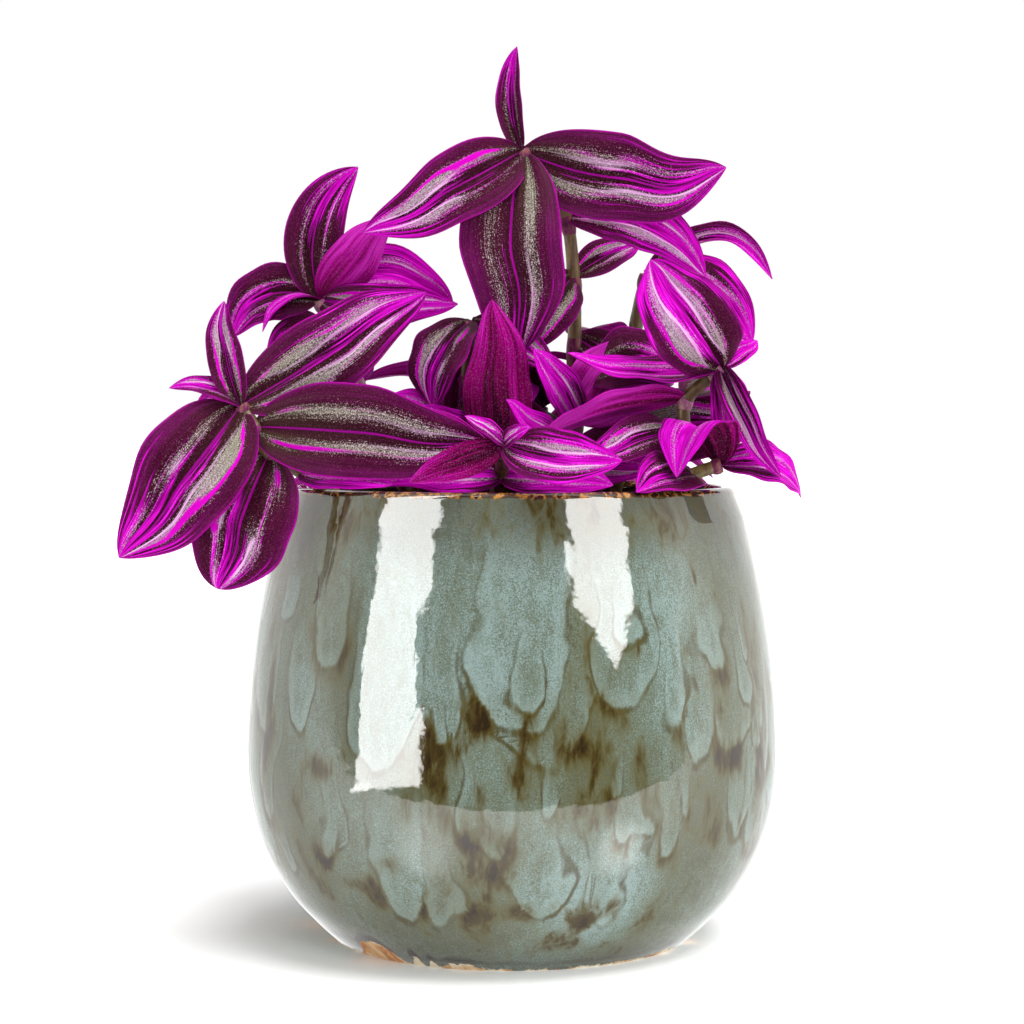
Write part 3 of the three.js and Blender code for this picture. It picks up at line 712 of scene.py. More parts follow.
# joints: where the stem leaves the soil, then each joint up to its end.
# leaves: joint, tip, width, way the upper face looks, arch, sway, bow, fold, and look.
FRONT_SHOOTS = {
    "shoot_crown": (
        [
            (14, 8, 118),
            (17, 7, 150),
            (19, 4, 180),
            (18.5, 1, 198),
            (16, -2, 216),
            (8, -4, 228),
            (3, -4, 235),
        ],
        [
            (6, (2, -22, 175), 31, (0, -1, 0.25), 6, 0, 3, 14, "old"),
            (6, (63, -14, 229), 27, (0, -1, 0), 3, 0, 6, 12, "striped"),
            (6, (-43, -26, 209), 22, (-0.1, -1, 0), 6, 0, -1.5, 14, "striped"),
            (6, (1.5, -3, 266), 12, (-0.3, -1, 0.1), 1, 0, -2, 48, "plum"),
            (4, (57, -14, 197), 18, (0, -0.9, 0.3), 3, 0, -6, 12, "bright"),
            (3, (4, -12, 174), 17, (0.3, -1, 0.1), 3, 0, 2, 14, "old"),
            (3, (39, 14, 209), 12, (0, -1, 0.5), 2, 0, 0, 16, "striped"),
            (2, (36, 32, 172), 18, (0.2, 0.4, 0.9), 5, 0, 0, 16, "striped"),
            (1, (-8, 30, 158), 18, (0, 0.4, 0.9), 4, 0, 0, 14, "plum"),
            (2, (42, 16, 162), 18, (0, -1, 0.2), 4, 0, 0, 14, "plum"),
        ],
    ),
    "shoot_left": (
        [
            (-38, -20, 118),
            (-50, -25, 132),
            (-61, -30, 140),
            (-70, -33, 145),
            (-74, -33, 153),
            (-78, -33, 159),
        ],
        [
            (5, (-111, -46, 116), 31, (0, -1, 0.1), 6, 0, -1.5, 10, "striped"),
            (4, (-6, -55, 148), 28, (0, -1, 0.15), 4, 0, 0, 10, "old"),
            (5, (-25, -22, 192), 24, (-0.05, -1, 0.1), 4, 0, 1.2, 10, "striped"),
            (3, (-83, -50, 109), 31, (0, -1, 0.15), 5, 0, 0, 10, "striped"),
            (5, (-83, -30, 189), 12, (0, -1, 0), 2, 0, -1.7, 30, "striped"),
            (5, (-98, -36, 164), 10, (0, -0.6, 0.8), 3, 0, 0, 16, "bright"),
            (5, (-92, -24, 157), 13, (-0.3, -0.9, 0.2), 2, 0, 0, 16, "magenta"),
            (5, (-90, -26, 175), 7, (0, -1, 0.3), 1, 0, 0, 20, "plum"),
            (2, (-36, -57, 140), 14, (0, -0.9, 0.5), 2, 0, 0, 14, "magenta"),
            (2, (-70, -2, 141), 20, (-0.3, 0.1, 1), 5, 0, 0, 16, "striped"),
        ],
    ),
    "shoot_upper_left": (
        [(-28, 12, 118), (-38, 10, 145), (-48, 6, 168), (-54, 3, 181), (-58, 0, 191)],
        [
            (4, (-46.5, 4, 231), 18, (0.1, -1, 0.1), 3, 0, -7, 12, "plum"),
            (4, (-36, -10, 215), 16, (0, 1, 0.3), -3, 0, 0, 16, "bright"),
            (4, (-84, -2, 179.5), 19, (-0.3, -1, 0.2), 4, 0, 6, 14, "plum"),
            (4, (-18, -6, 193), 18, (0, -1, 0.3), 4, 0, -8, 12, "magenta"),
            (4, (-16, -14, 189), 15, (0, -1, 0.2), 3, 0, 3, 12, "bright"),
            (3, (-73, -8, 174), 17, (-0.3, -0.9, 0.3), 3, 0, 0, 14, "plum"),
            (4, (-74, -10, 181), 6, (-0.3, -0.5, 0.8), 5, 0, 0, 16, "magenta"),
            (2, (-52, 36, 160), 19, (-0.2, 0.5, 0.8), 5, 0, 0, 16, "striped"),
            (1, (-60, -8, 143), 17, (-0.2, 0, 1), 4, 0, 0, 14, "plum"),
            (1, (-20, 36, 147), 18, (0, 0.3, 1), 4, 0, 0, 14, "striped"),
        ],
    ),
    "shoot_right": (
        [(42, -12, 118), (47, -18, 136), (50, -22, 151), (51, -23, 161), (61, -25, 170)],
        [
            (4, (40, -26, 201), 26, (-0.2, -1, 0.1), 12, 0, 0, 12, "bright"),
            (4, (16, -36, 174), 17, (0, -0.5, 0.9), -5, 0, 0, 20, "magenta"),
            (4, (76.5, -40, 138.5), 15, (-0.2, -1, 0.2), 3, 0, 1, 56, "bright"),
            (3, (6, -50, 149), 15, (0, 0.65, 0.75), 3, 0, 0, 14, "striped"),
            (4, (63, -30, 147), 13, (0.3, -1, 0.1), 2, 0, 0, 16, "magenta"),
            (2, (20, -50, 143), 16, (-0.1, -0.85, 0.5), 3, 0, 0, 14, "striped"),
            (4, (72, -18, 178), 7, (-0.3, -1, 0.1), 1, 0, 0, 20, "magenta"),
            (3, (70, 12, 156), 19, (0.4, 0.2, 0.9), 5, 0, 0, 16, "plum"),
        ],
    ),
    "shoot_front": (
        [(-4, -26, 118), (-3, -34, 139), (-3, -46, 145), (-2, -60, 148)],
        [
            (3, (30, -69, 144), 18, (0.1, -0.9, 0.4), 1, 0, 3, 20, "bright"),
            (1, (-8, -24, 189), 21, (0.1, 1, -0.1), -3, 0, 0, 18, "magenta"),
            (3, (-28, -69, 138), 10, (0, 1, -0.1), -3, 0, 0, 12, "magenta"),
            (3, (-13, -62, 156), 6, (0.3, -0.8, 0.5), 1, 0, 0, 24, "bright"),
            (3, (5, -65, 153), 6, (-0.3, -0.8, 0.4), 1, 0, 0, 24, "bright"),
            (1, (-38, -50, 140), 14, (0, -0.9, 0.4), 3, 0, 0, 14, "magenta"),
            (1, (28, -52, 139), 14, (0, -0.9, 0.4), 3, 0, 0, 14, "magenta"),
            (1, (-26, -44, 154), 10, (0, 1, 0.1), -2, 0, 0, 14, "magenta"),
        ],
    ),
    "shoot_lower_right": (
        [(34, -30, 118), (43, -34, 131), (52, -35, 139), (60, -35, 142)],
        [
            (3, (46, -54, 139), 22, (-0.35, -0.45, 0.85), 12, 0, 0, 14, "magenta"),
            (3, (85, -26, 136), 17, (0.2, -0.7, 0.7), 6, 0, 0, 16, "magenta"),
            (2, (34, -58, 139), 17, (0, -0.8, 0.6), 3, 0, 0, 14, "plum"),
            (3, (76, -12, 142), 17, (0.4, 0, 1), 4, 0, 0, 16, "magenta"),
        ],
    ),
    "shoot_upper_right": (
        [(30, 16, 118), (35, 14, 150), (38, 12, 184), (41, 9, 199)],
        [
            (3, (78, -2, 197), 12, (-0.1, -0.7, 0.7), 5, -1, -11, 44, "bright"),
            (3, (73, -4, 178), 21, (0.3, -1, 0.3), 6, 0, -3, 14, "bright"),
            (1, (56, 40, 152), 19, (0.2, 0.4, 0.9), 5, 0, 0, 16, "striped"),
            (1, (73, 2, 160), 24, (0, -1, 0.2), 5, 0, 0, 14, "striped"),
        ],
    ),
    "shoot_middle_left": (
        [(-12, -6, 118), (-13, -10, 145), (-13, -13, 168), (-12, -14, 184)],
        [
            (3, (-27, -26, 164), 20, (-0.5, -0.8, 0.2), 6, 0, 0, 14, "striped"),
            (1, (-25, -37, 159), 15, (-0.1, -1, 0.3), 3, 0, 0, 14, "magenta"),
            (2, (-22, 20, 166), 17, (-0.2, 0.5, 0.9), 4, 0, 0, 14, "plum"),
            (3, (14, -18, 171), 13, (0.2, -0.9, 0.4), 3, 0, 0, 14, "striped"),
            (1, (-40, -22, 158), 18, (-0.2, -0.6, 0.8), 4, 0, 0, 14, "magenta"),
            (1, (-26, 26, 156), 19, (-0.2, 0.5, 0.9), 5, 0, 0, 16, "striped"),
            (1, (-19, 4, 180), 19, (0, -1, 0.2), 3, 0, 0, 14, "striped"),
        ],
    ),
    "shoot_middle_right": (
        [(14, -16, 118), (16, -20, 138), (19, -20, 154), (23, -16, 167)],
        [
            (3, (48, -12, 168), 23, (0.1, -0.8, 0.6), 9, 0, 0, 14, "plum"),
            (2, (36, -18, 181), 24, (-0.3, 1, 0), -3, 0, 0, 16, "striped"),
            (2, (6, -40, 175), 13, (0.3, -0.9, 0.2), 2, 0, 0, 18, "magenta"),
            (1, (-4, -46, 160), 14, (-0.1, -0.8, 0.6), 2, 0, 0, 14, "magenta"),
            (1, (38, -44, 153), 15, (0.2, -0.8, 0.6), 3, 0, 0, 14, "bright"),
            (1, (42, -6, 152), 17, (0, -1, 0.3), 3, 0, 0, 14, "plum"),
        ],
    ),
}

# Shoots round the back: every other one stands inside the rim, and the rest lean out over it.
BACK_HEADINGS = [26, 58, 76, 95, 114, 134]
# Distance from the middle of the pot and height, at each joint.
UPRIGHT_JOINTS = [(26, 118), (30, 136), (33, 149), (35, 159)]
LEANING_JOINTS = [(40, 118), (46, 131), (56, 140), (68, 142), (78, 138)]
# Joint, angle aside from the way the shoot leans, length, rise to the tip and width.
UPRIGHT_LEAVES = [
    (1, 75, 36, 9, 19),
    (2, -70, 38, 6, 20),
    (3, 60, 36, 8, 19),
    (3, -35, 35, 10, 19),
    (3, -150, 32, 9, 17),
    (3, 140, 26, 15, 12),
]
LEANING_LEAVES = [
    (1, -68, 38, 4, 19),
    (2, 68, 41, -2, 21),
    (3, -68, 41, -6, 21),
    (4, 68, 38, -10, 20),
    (4, -25, 34, -14, 16),
    (4, 25, 31, -18, 14),
]


def spread(n):
    """A repeatable spread between -1 and 1."""
    value = math.sin(n * 12.9898) * 43758.5453
    return 2 * (value - math.floor(value)) - 1


def back_shoot(heading, number):
    leaning = number % 2 == 1

    def at(angle, distance, height):
        return (distance * math.cos(math.radians(angle)), distance * math.sin(math.radians(angle)), height)

    joints = [
        at(heading + 3 * k * spread(10 * number + k), distance, height)
        for k, (distance, height) in enumerate(LEANING_JOINTS if leaning else UPRIGHT_JOINTS)
    ]
    leaves = []
    for k, (joint, aside, length, rise, width) in enumerate(LEANING_LEAVES if leaning else UPRIGHT_LEAVES):
        seed = 100 + 10 * number + k
        away = at(heading + aside + 10 * spread(seed), length + 3 * spread(seed + 0.3), rise)
        tip = tuple(a + b for a, b in zip(joints[joint], away))
        look = list(LOOKS)[int(2.5 + 2.5 * spread(seed + 0.8))]
        leaves.append((joint, tip, width + 2 * spread(seed + 0.6), at(heading, 0.4, 1), 6, 0, 0, 15, look))
    return joints, leaves


def unit(v):
    return v / np.linalg.norm(v, axis=-1, keepdims=True)


def turned(v, axis, angle):
    """v turned about a unit axis."""
    return (
        v * math.cos(angle)
        + np.cross(axis, v) * math.sin(angle)
        + axis * np.dot(axis, v) * (1 - math.cos(angle))
    )


def blade_frame(base, tip, faces, arch, sway, bow, t):
    """The middle of a blade, and which way is up and right, at each t from base to tip."""
    t = np.asarray(t, float)[:, None]
    chord = tip - base
    along = unit(chord)
    normal = unit(faces - along * np.dot(faces, along))
    side = np.cross(along, normal)
    hump = 4 * t * (1 - t)
    slope = 4 * (1 - 2 * t)
    turn = 2 * math.pi * t
    middle = base + chord * t + normal * (arch * hump + sway * np.sin(turn)) + side * bow * hump
    forward = unit(chord + normal * (arch * slope + sway * 2 * math.pi * np.cos(turn)) + side * bow * slope)
    up = unit(normal - forward * np.sum(normal * forward, 1, keepdims=True))
    return middle, up, np.cross(forward, up)


def find_turn(solid_points, base, tip, faces, arch, sway, bow):
    """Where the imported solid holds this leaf: its tip and facing after the turn that was given to it."""
    around = unit(tip - base)
    for turn in range(TURN_RINGS * TURNS_IN_RING + 1):
        hinge = turned(unit(np.cross(faces, around)), around, 2 * math.pi * turn / TURNS_IN_RING)
        angle = math.radians(TURN_STEP * math.ceil(turn / TURNS_IN_RING))
        new_tip = base + turned(tip - base, hinge, angle)
        new_faces = turned(faces, hinge, angle)
        middle, up, _ = blade_frame(base, new_tip, new_faces, arch, sway, bow, [1.0])
        ends = np.vstack([middle + up * CAD_HALF_THICKNESS, middle - up * CAD_HALF_THICKNESS])
        gaps = np.linalg.norm(solid_points[None] - ends[:, None], axis=2).min(1)
        if gaps.min() < FOUND_WITHIN:
            return new_tip, new_faces
    return None


# Where a blade's rows of points lie along it, closer at both ends, and across it.
ROWS = 34
ALONG = np.concatenate([[0], np.cumsum(np.sin(np.pi * (np.arange(ROWS) + 0.5) / ROWS) + 0.35)])
ALONG = ALONG / ALONG[-1]
ACROSS = np.array([0, 0.05, 0.12, 0.22, 0.34, 0.46, 0.58, 0.7, 0.81, 0.9, 0.96, 1.0])
ACROSS = np.concatenate([-ACROSS[:0:-1], ACROSS])


def blade(base, tip, faces, width, arch, sway, bow, fold, look, luck, hook, wavy):
    """One closed leaf blade: its points, faces, slots, flat faces, UV places and values."""
    # Hanging leaves are fullest nearer their tips.
    hanging = max(0, (base[2] - tip[2]) / np.linalg.norm(tip - base) - 0.8)
    widest = WIDEST_AT + 0.6 * hanging
    falloff = BASE_FULLNESS * (1 - widest) / widest
    t = ALONG
    middle, up, right = blade_frame(base, tip, faces, arch, sway, bow, t)
    # Towards the tip a living leaf bends aside and back.
    late = np.sin(math.pi * np.clip(t * 2 - 1, 0, 1)) ** 2
    middle = middle + right * (hook * late)[:, None] + up * (0.4 * hook * late)[:, None]
    full = (t / widest) ** BASE_FULLNESS * ((1 - t) / (1 - widest)) ** falloff
    reach = np.maximum(HEEL_HALF_WIDTH * (1 - t) + TIP_HALF_WIDTH * t, width / 2 * full)[:, None]
    v = ACROSS[None, :]
    tilt = math.radians(fold)
    # Each half of the blade bulges up between the midrib and the edge, and the edge waves.
    crease = np.sqrt(v**2 + 0.004) - 0.063
    bulge = BULGE * np.sin(math.pi * np.abs(v)) * (1 - 0.6 * np.abs(v))
    waves = 1.5 + 2 * luck
    phase = 2 * math.pi * (waves * t[:, None] + luck * 7) + 1.9 * np.sign(v)
    ruffle = RUFFLE * wavy * np.sin(phase) * np.abs(v) ** 3
    lift = reach * (math.sin(tilt) * crease + (bulge + ruffle) * np.sin(math.pi * t)[:, None] ** 0.5)
    sideways = right[:, None] * (v * reach * math.cos(tilt))[..., None]
    sheet = middle[:, None] + sideways + up[:, None] * lift[..., None]
    half = (BLADE_THICKNESS / 2) * (1 - 0.55 * v**2) * np.minimum(1, 0.4 + reach / 3)
    upper = sheet + up[:, None] * half[..., None]
    lower = sheet - up[:, None] * half[..., None]
    rows, columns = len(t), ACROSS.size
    count = rows * columns
    points = np.vstack([upper.reshape(-1, 3), lower.reshape(-1, 3)])
    i, j = np.meshgrid(np.arange(rows - 1), np.arange(columns - 1), indexing="ij")
    a = (i * columns + j).ravel()
    top = np.stack([a, a + 1, a + columns + 1, a + columns], 1)
    bottom = top[:, ::-1] + count
    rim = np.concatenate(
        [
            np.arange(columns),
            np.arange(1, rows) * columns + columns - 1,
            (rows - 1) * columns + np.arange(columns - 2, -1, -1),
            np.arange(rows - 2, 0, -1) * columns,
        ]
    )
    following = np.roll(rim, -1)
    edge = np.stack([rim, rim + count, following + count, following], 1)
    faces_out = np.vstack([top, bottom, edge])
    slots = np.concatenate([np.zeros(len(top)), np.ones(len(bottom)), np.zeros(len(edge))])
    flat = np.arange(len(top) + len(bottom), len(faces_out))
    uv = np.stack(np.broadcast_arrays(t[:, None], 0.5 + 0.5 * v), 2).reshape(-1, 2)
    uv = np.vstack([uv, uv])
    magenta, silver = LOOKS[look]
    values = {
        "magenta": np.full(2 * count, magenta),
        "silver": np.full(2 * count, silver),
        "luck": np.full(2 * count, luck),
    }
    return points, faces_out, slots, flat, uv, values


def leaves_piece(name, blades):
    """All blades of a shoot as one mesh."""
    points, faces, slots, flats, uvs, values = zip(*blades)
    point_shifts = np.cumsum([0] + [len(p) for p in points[:-1]])
    face_shifts = np.cumsum([0] + [len(f) for f in faces[:-1]])
    return mesh_object(
        name,
        np.vstack(points),
        np.vstack([f + shift for f, shift in zip(faces, point_shifts)]).tolist(),
        {key: np.concatenate([value[key] for value in values]) for key in values[0]},
        np.vstack(uvs),
        np.concatenate(slots),
        np.concatenate([flat + shift for flat, shift in zip(flats, face_shifts)]),
    )


def path_object(name, paths, radii):
    """A mesh of bare lines, with the radius that a stem has at each point."""
    points, edges = [], []
    for path in paths:
        start = len(points)
        points += [tuple(p * MM) for p in path]
        edges += [(k, k + 1) for k in range(start, start + len(path) - 1)]
    mesh = bpy.data.meshes.new(name)
    mesh.from_pydata(points, edges, [])
    layer = mesh.attributes.new("thickness", "FLOAT", "POINT")
    layer.data.foreach_set("value", np.concatenate(radii).astype(np.float32) * MM)
    return new_object(name, mesh)


def stem_tree():
    """A round stem along each line, as thick as the line says at each point, with closed ends."""
    tree, given = new_tree(
        "juicy_stem", [("Sides", "NodeSocketInt", 20), ("Material", "NodeSocketMaterial", None)]
    )
    line = add(tree, "GeometryNodeMeshToCurve", {"Mesh": given["Geometry"]})
    thickness = add(tree, "GeometryNodeInputNamedAttribute", {"Name": "thickness"}, data_type="FLOAT")
    ring = add(tree, "GeometryNodeCurvePrimitiveCircle", {"Resolution": given["Sides"], "Radius": 1.0})
    tube = add(
        tree,
        "GeometryNodeCurveToMesh",
        {"Curve": line, "Profile Curve": ring, "Scale": thickness, "Fill Caps": True},
    )
    soft = add(tree, "GeometryNodeSetShadeSmooth", {"Geometry": tube})
    real = add(tree, "GeometryNodeRealizeInstances", {"Geometry": soft})
    made = add(tree, "GeometryNodeSetMaterial", {"Geometry": real, "Material": given["Material"]})
    tree.links.new(made, tree.nodes.new("NodeGroupOutput").inputs["Geometry"])
    return tree


def stem_material():
    """Succulent stem: olive to brown-purple skin, satin, streaked along its length."""
    material, tree, shader = new_material("succulent_stem_skin")
    place = add(tree, "TexCoord", output="Object")
    stretched = add(tree, "Mapping", {"Vector": place, "Scale": (1, 1, 0.25)})
    # Streaks are about 1 mm wide.
    streaks = add(tree, "TexNoise", {"Vector": stretched, "Scale": 500, "Detail": 4, "Roughness": 0.6})
    colour = add(
        tree,
        "ValToRGB",
        streaks,
        stops=[(0.3, "#3f2a1c"), (0.48, "#5d4a2a"), (0.6, "#77673a"), (0.72, "#8a5a52")],
    )
    bump = add(tree, "Bump", {"Height": streaks, "Strength": 0.3, "Distance": 0.0003})
    fill(shader, {"Base Color": colour, "Normal": bump, "Roughness": 0.45})
    return material


PALE_SHEATHS = ("shoot_upper_left", "shoot_right")


def sheath_material(name, stops):
    """Leaf sheath: a thin skin, streaked with purple, pale pink where it is young."""
    material, tree, shader = new_material(name)
    place = add(tree, "TexCoord", output="Object")
    stretched = add(tree, "Mapping", {"Vector": place, "Scale": (1, 1, 0.4)})
    # Streaks are about 0.8 mm wide.
    streaks = add(tree, "TexNoise", {"Vector": stretched, "Scale": 700, "Detail": 3, "Roughness": 0.6})
    colour = add(tree, "ValToRGB", streaks, stops=stops)
    fill(shader, {"Base Color": colour, "Roughness": 0.5, "Specular IOR Level": 0.2})
    return material


def leaf_place(tree):
    """Where a point lies on its blade: from base to tip, from edge to edge, and in a draw of its own."""
    blade_place = add(tree, "UVMap", uv_map="blade")
    split = add(tree, "SeparateXYZ", blade_place).node.outputs
    signed = add(tree, "Math MULTIPLY_ADD", split["Y"], 2.0, -1.0)
    luck = add(tree, "Attribute", attribute_name="luck", output="Fac")
    draw = add(tree, "Math MULTIPLY", luck, 40.0)
    place = add(tree, "CombineXYZ", split["X"], signed, draw)
    return split["X"], signed, place


def leaf_streaks(tree, place, along_count, across_count, detail):
    """Streaks that follow the parallel veins, so many in the blade's length and in half its width."""
    stretched = add(tree, "Mapping", {"Vector": place, "Scale": (along_count, across_count, 1.0)})
    return add(tree, "TexNoise", {"Vector": stretched, "Scale": 1.0, "Detail": detail, "Roughness": 0.6})


# Leaf skin is satin, with hardly any gloss of its own under the soft light.
LEAF_SHEEN = {"Roughness": 0.45, "Specular IOR Level": 0.02}


def leaf_upper_material():
    """Upper side of a living leaf: satin skin, dark plum with a purple outer part, magenta streaks
    that widen to the tip, and in each half a ragged, speckled silver band with a pale inner edge."""
    material, tree, shader = new_material("striped_leaf_upper_side")
    along, signed, place = leaf_place(tree)
    off_middle = add(tree, "Math ABSOLUTE", signed)
    magenta = add(tree, "Attribute", attribute_name="magenta", output="Fac")
    silver = add(tree, "Attribute", attribute_name="silver", output="Fac")
    broad = leaf_streaks(tree, place, 1.2, 2.2, 1)
    other_broad = leaf_streaks(tree, place, 1.7, 1.1, 1)
    streaks = leaf_streaks(tree, place, 1.5, 10.0, 3)
    fine = leaf_streaks(tree, place, 4.0, 55.0, 2)
    object_place = add(tree, "TexCoord", output="Object")
    # Speckles are about 0.4 mm.
    speckle = add(
        tree, "TexNoise", {"Vector": object_place, "Scale": 2500, "Detail": 1, "Roughness": 0.6}
    )
    pushed = add(tree, "Math MULTIPLY_ADD", broad, 0.3, -0.15)
    jitter = add(tree, "Math MULTIPLY_ADD", streaks, 0.16, pushed)
    # The streaks' mean is 0.5, which moves every band out by half their weight.
    warped = add(tree, "Math ADD", off_middle, jitter)
    flecked = add(tree, "Math MULTIPLY_ADD", streaks, 1.1, -0.5)
    depth = add(tree, "Math ADD", warped, flecked)
    ground = add(
        tree,
        "ValToRGB",
        depth,
        stops=[
            (0.15, "#2a0614"), (0.45, "#38081f"), (0.75, "#460a2e"), (0.92, "#50093a"), (1.0, "#600e4c")
        ],
    )
    # Old, sunlit leaves are olive near the base.
    olive_share = add(tree, "MapRange", along, 0.55, 0.0, 0.0, 0.7, **SOFT)
    plain_share = add(tree, "MapRange", magenta, 0.1, 0.75, 1.0, 0.0, **SOFT)
    olive = add(tree, "Math MULTIPLY", olive_share, plain_share)
    mottled = add(tree, "Math MULTIPLY", olive, add(tree, "MapRange", broad, 0.35, 0.6, **SOFT))
    # Magenta streaks are few near the base and flow together at the tip.
    tipward = add(tree, "Math MULTIPLY_ADD", along, 0.5, -1.24)
    redder = add(tree, "Math MULTIPLY_ADD", magenta, 0.62, tipward)
    strewn = add(tree, "Math MULTIPLY_ADD", streaks, 1.6, redder)
    bright = add(tree, "ValToRGB", fine, stops=[(0.3, "#96007e"), (0.48, "#c800b6"), (0.66, "#f424e8")])
    # The silver band's half-width, as a share of half the blade, changes along the leaf.
    wide = add(tree, "Math MULTIPLY_ADD", other_broad, 0.8, -0.29)
    wide_here = add(tree, "Math MULTIPLY", wide, silver)
    opened = add(tree, "Math MULTIPLY", wide_here, add(tree, "MapRange", along, 0.0, 0.3, **SOFT))
    closed = add(tree, "Math MULTIPLY", opened, add(tree, "MapRange", along, 1.0, 0.7, 0.35, 1.0, **SOFT))
    middle = add(tree, "Math MULTIPLY_ADD", broad, 0.5, 0.22)
    from_middle = add(tree, "Math SUBTRACT", warped, middle)
    outward = add(tree, "MapRange", from_middle, 0.0, 0.2, 0.0, -0.14, **SOFT)
    streaked = add(tree, "Math ADD", strewn, outward)
    gap = add(tree, "Math ABSOLUTE", from_middle)
    inside = add(tree, "Math SUBTRACT", closed, gap)
    grain = add(tree, "Math MULTIPLY_ADD", speckle, 0.5, -0.25)
    thread = add(tree, "Math MULTIPLY_ADD", fine, 0.4, -0.21)
    ragged = add(tree, "Math ADD", grain, thread)
    band = add(tree, "Math ADD", inside, ragged)
    silvery = add(
        tree,
        "ValToRGB",
        speckle,
        stops=[(0.3, "#6c5c5c"), (0.45, "#877b76"), (0.56, "#a0958e"), (0.7, "#cfc4c0")],
    )
    # Near the base it is greenish, and on young leaves rosy.
    basal = add(tree, "MapRange", along, 0.6, 0.05, 0.0, 0.55, **SOFT)
    young = add(tree, "MapRange", redder, -0.9, -0.3, 0.0, 0.6, **SOFT)
    for share, over in ((basal, linear("#84866a")), (young, linear("#cc94cc"))):
        silvery = add(tree, "Mix", {0: share, MIX_A: silvery, MIX_B: over}, data_type="RGBA")
    inner = add(tree, "Math ADD", from_middle, closed)
    inner_gap = add(tree, "Math ABSOLUTE", inner)
    outer = add(tree, "Math SUBTRACT", from_middle, closed)
    outer_gap = add(tree, "Math ABSOLUTE", outer)
    shown = add(tree, "MapRange", closed, 0.02, 0.06, **SOFT)
    pale_edge = add(tree, "Math MULTIPLY", shown, add(tree, "MapRange", inner_gap, 0.05, 0.015, **SOFT))
    pale = add(tree, "Math MULTIPLY", pale_edge, add(tree, "MapRange", redder, -1.0, -0.45, **SOFT))
    vivid_edge = add(tree, "Math MULTIPLY", shown, add(tree, "MapRange", outer_gap, 0.07, 0.03, **SOFT))
    vivid = add(tree, "Math MULTIPLY", vivid_edge, add(tree, "MapRange", broad, 0.42, 0.55, **SOFT))
    midrib = add(tree, "MapRange", off_middle, 0.035, 0.01, 0.0, 0.8, **SOFT)
    rim = add(tree, "MapRange", off_middle, 0.945, 0.985, 0.0, 0.65, **SOFT)
    layers = [
        (mottled, linear("#3d321f")),
        (add(tree, "MapRange", speckle, 0.52, 0.66, 0.0, 0.4, **SOFT), linear("#6e3a56")),
        (add(tree, "MapRange", streaked, 0.1, 0.3, **SOFT), bright),
        (add(tree, "MapRange", band, -0.09, 0.13, **SOFT), silvery),
        (vivid, linear("#d408c0")),
        (pale, linear("#f2bcee")),
        (midrib, linear("#a80c98")),
        (rim, linear("#bc0aa6")),
    ]
    colour = ground
    for share, over in layers:
        colour = add(tree, "Mix", {0: share, MIX_A: colour, MIX_B: over}, data_type="RGBA")
    veins = add(tree, "MapRange", fine, 0.3, 0.7, 0.7, 1.2, **SOFT)
    veined = add(tree, "VectorMath SCALE", {0: colour, "Scale": veins})
    relief = add(tree, "Math MULTIPLY_ADD", speckle, 0.4, fine)
    bump = add(tree, "Bump", {"Height": relief, "Strength": 0.4, "Distance": 0.0002})
    fill(shader, {"Base Color": veined, "Normal": bump, **LEAF_SHEEN})
    return material


def leaf_under_material():
    """Underside of a living leaf: dark magenta-violet, brighter at the edges and the tip, with fine
    parallel veins and a faint grey bloom."""
    material, tree, shader = new_material("violet_leaf_underside")
    along, signed, place = leaf_place(tree)
    off_middle = add(tree, "Math ABSOLUTE", signed)
    streaks = leaf_streaks(tree, place, 1.4, 6.0, 3)
    fine = leaf_streaks(tree, place, 3.0, 45.0, 2)
    object_place = add(tree, "TexCoord", output="Object")
    # Grains of bloom are about 0.4 mm.
    bloom = add(tree, "TexNoise", {"Vector": object_place, "Scale": 2500, "Detail": 1, "Roughness": 0.6})
    # Leaves with more silver above are paler below.
    silver = add(tree, "Attribute", attribute_name="silver", output="Fac")
    paler = add(tree, "Math MULTIPLY_ADD", silver, 0.45, -0.56)
    towards_tip = add(tree, "Math MULTIPLY_ADD", along, 0.4, paler)
    towards_edge = add(tree, "Math MULTIPLY_ADD", off_middle, 0.25, towards_tip)
    shade = add(tree, "Math MULTIPLY_ADD", streaks, 1.3, towards_edge)
    colour = add(
        tree,
        "ValToRGB",
        shade,
        stops=[
            (0.2, "#2e0018"), (0.4, "#50002e"), (0.58, "#7c0054"), (0.76, "#ac0a8c"), (0.95, "#d42cbe")
        ],
    )
    dust = add(tree, "MapRange", bloom, 0.54, 0.7, 0.0, 0.25)
    dusted = add(tree, "Mix", {0: dust, MIX_A: colour, MIX_B: linear("#a86a98")}, data_type="RGBA")
    depth = add(tree, "MapRange", fine, 0.3, 0.7, 0.6, 1.3)
    veined = add(tree, "VectorMath SCALE", {0: dusted, "Scale": depth})
    bump = add(tree, "Bump", {"Height": fine, "Strength": 0.4, "Distance": 0.0002})
    fill(shader, {"Base Color": veined, "Normal": bump, **LEAF_SHEEN})
    return material


upper_skin = leaf_upper_material()
under_skin = leaf_under_material()
stem_skin = stem_material()
pale_sheath_skin = sheath_material(
    "pale_leaf_sheath", [(0.3, "#8c3f78"), (0.48, "#a8688c"), (0.6, "#b99a88"), (0.75, "#cdb4a6")]
)
dark_sheath_skin = sheath_material(
    "purple_leaf_sheath", [(0.3, "#43102c"), (0.48, "#6a2450"), (0.6, "#7c4a40"), (0.75, "#94688a")]
)
stems = stem_tree()


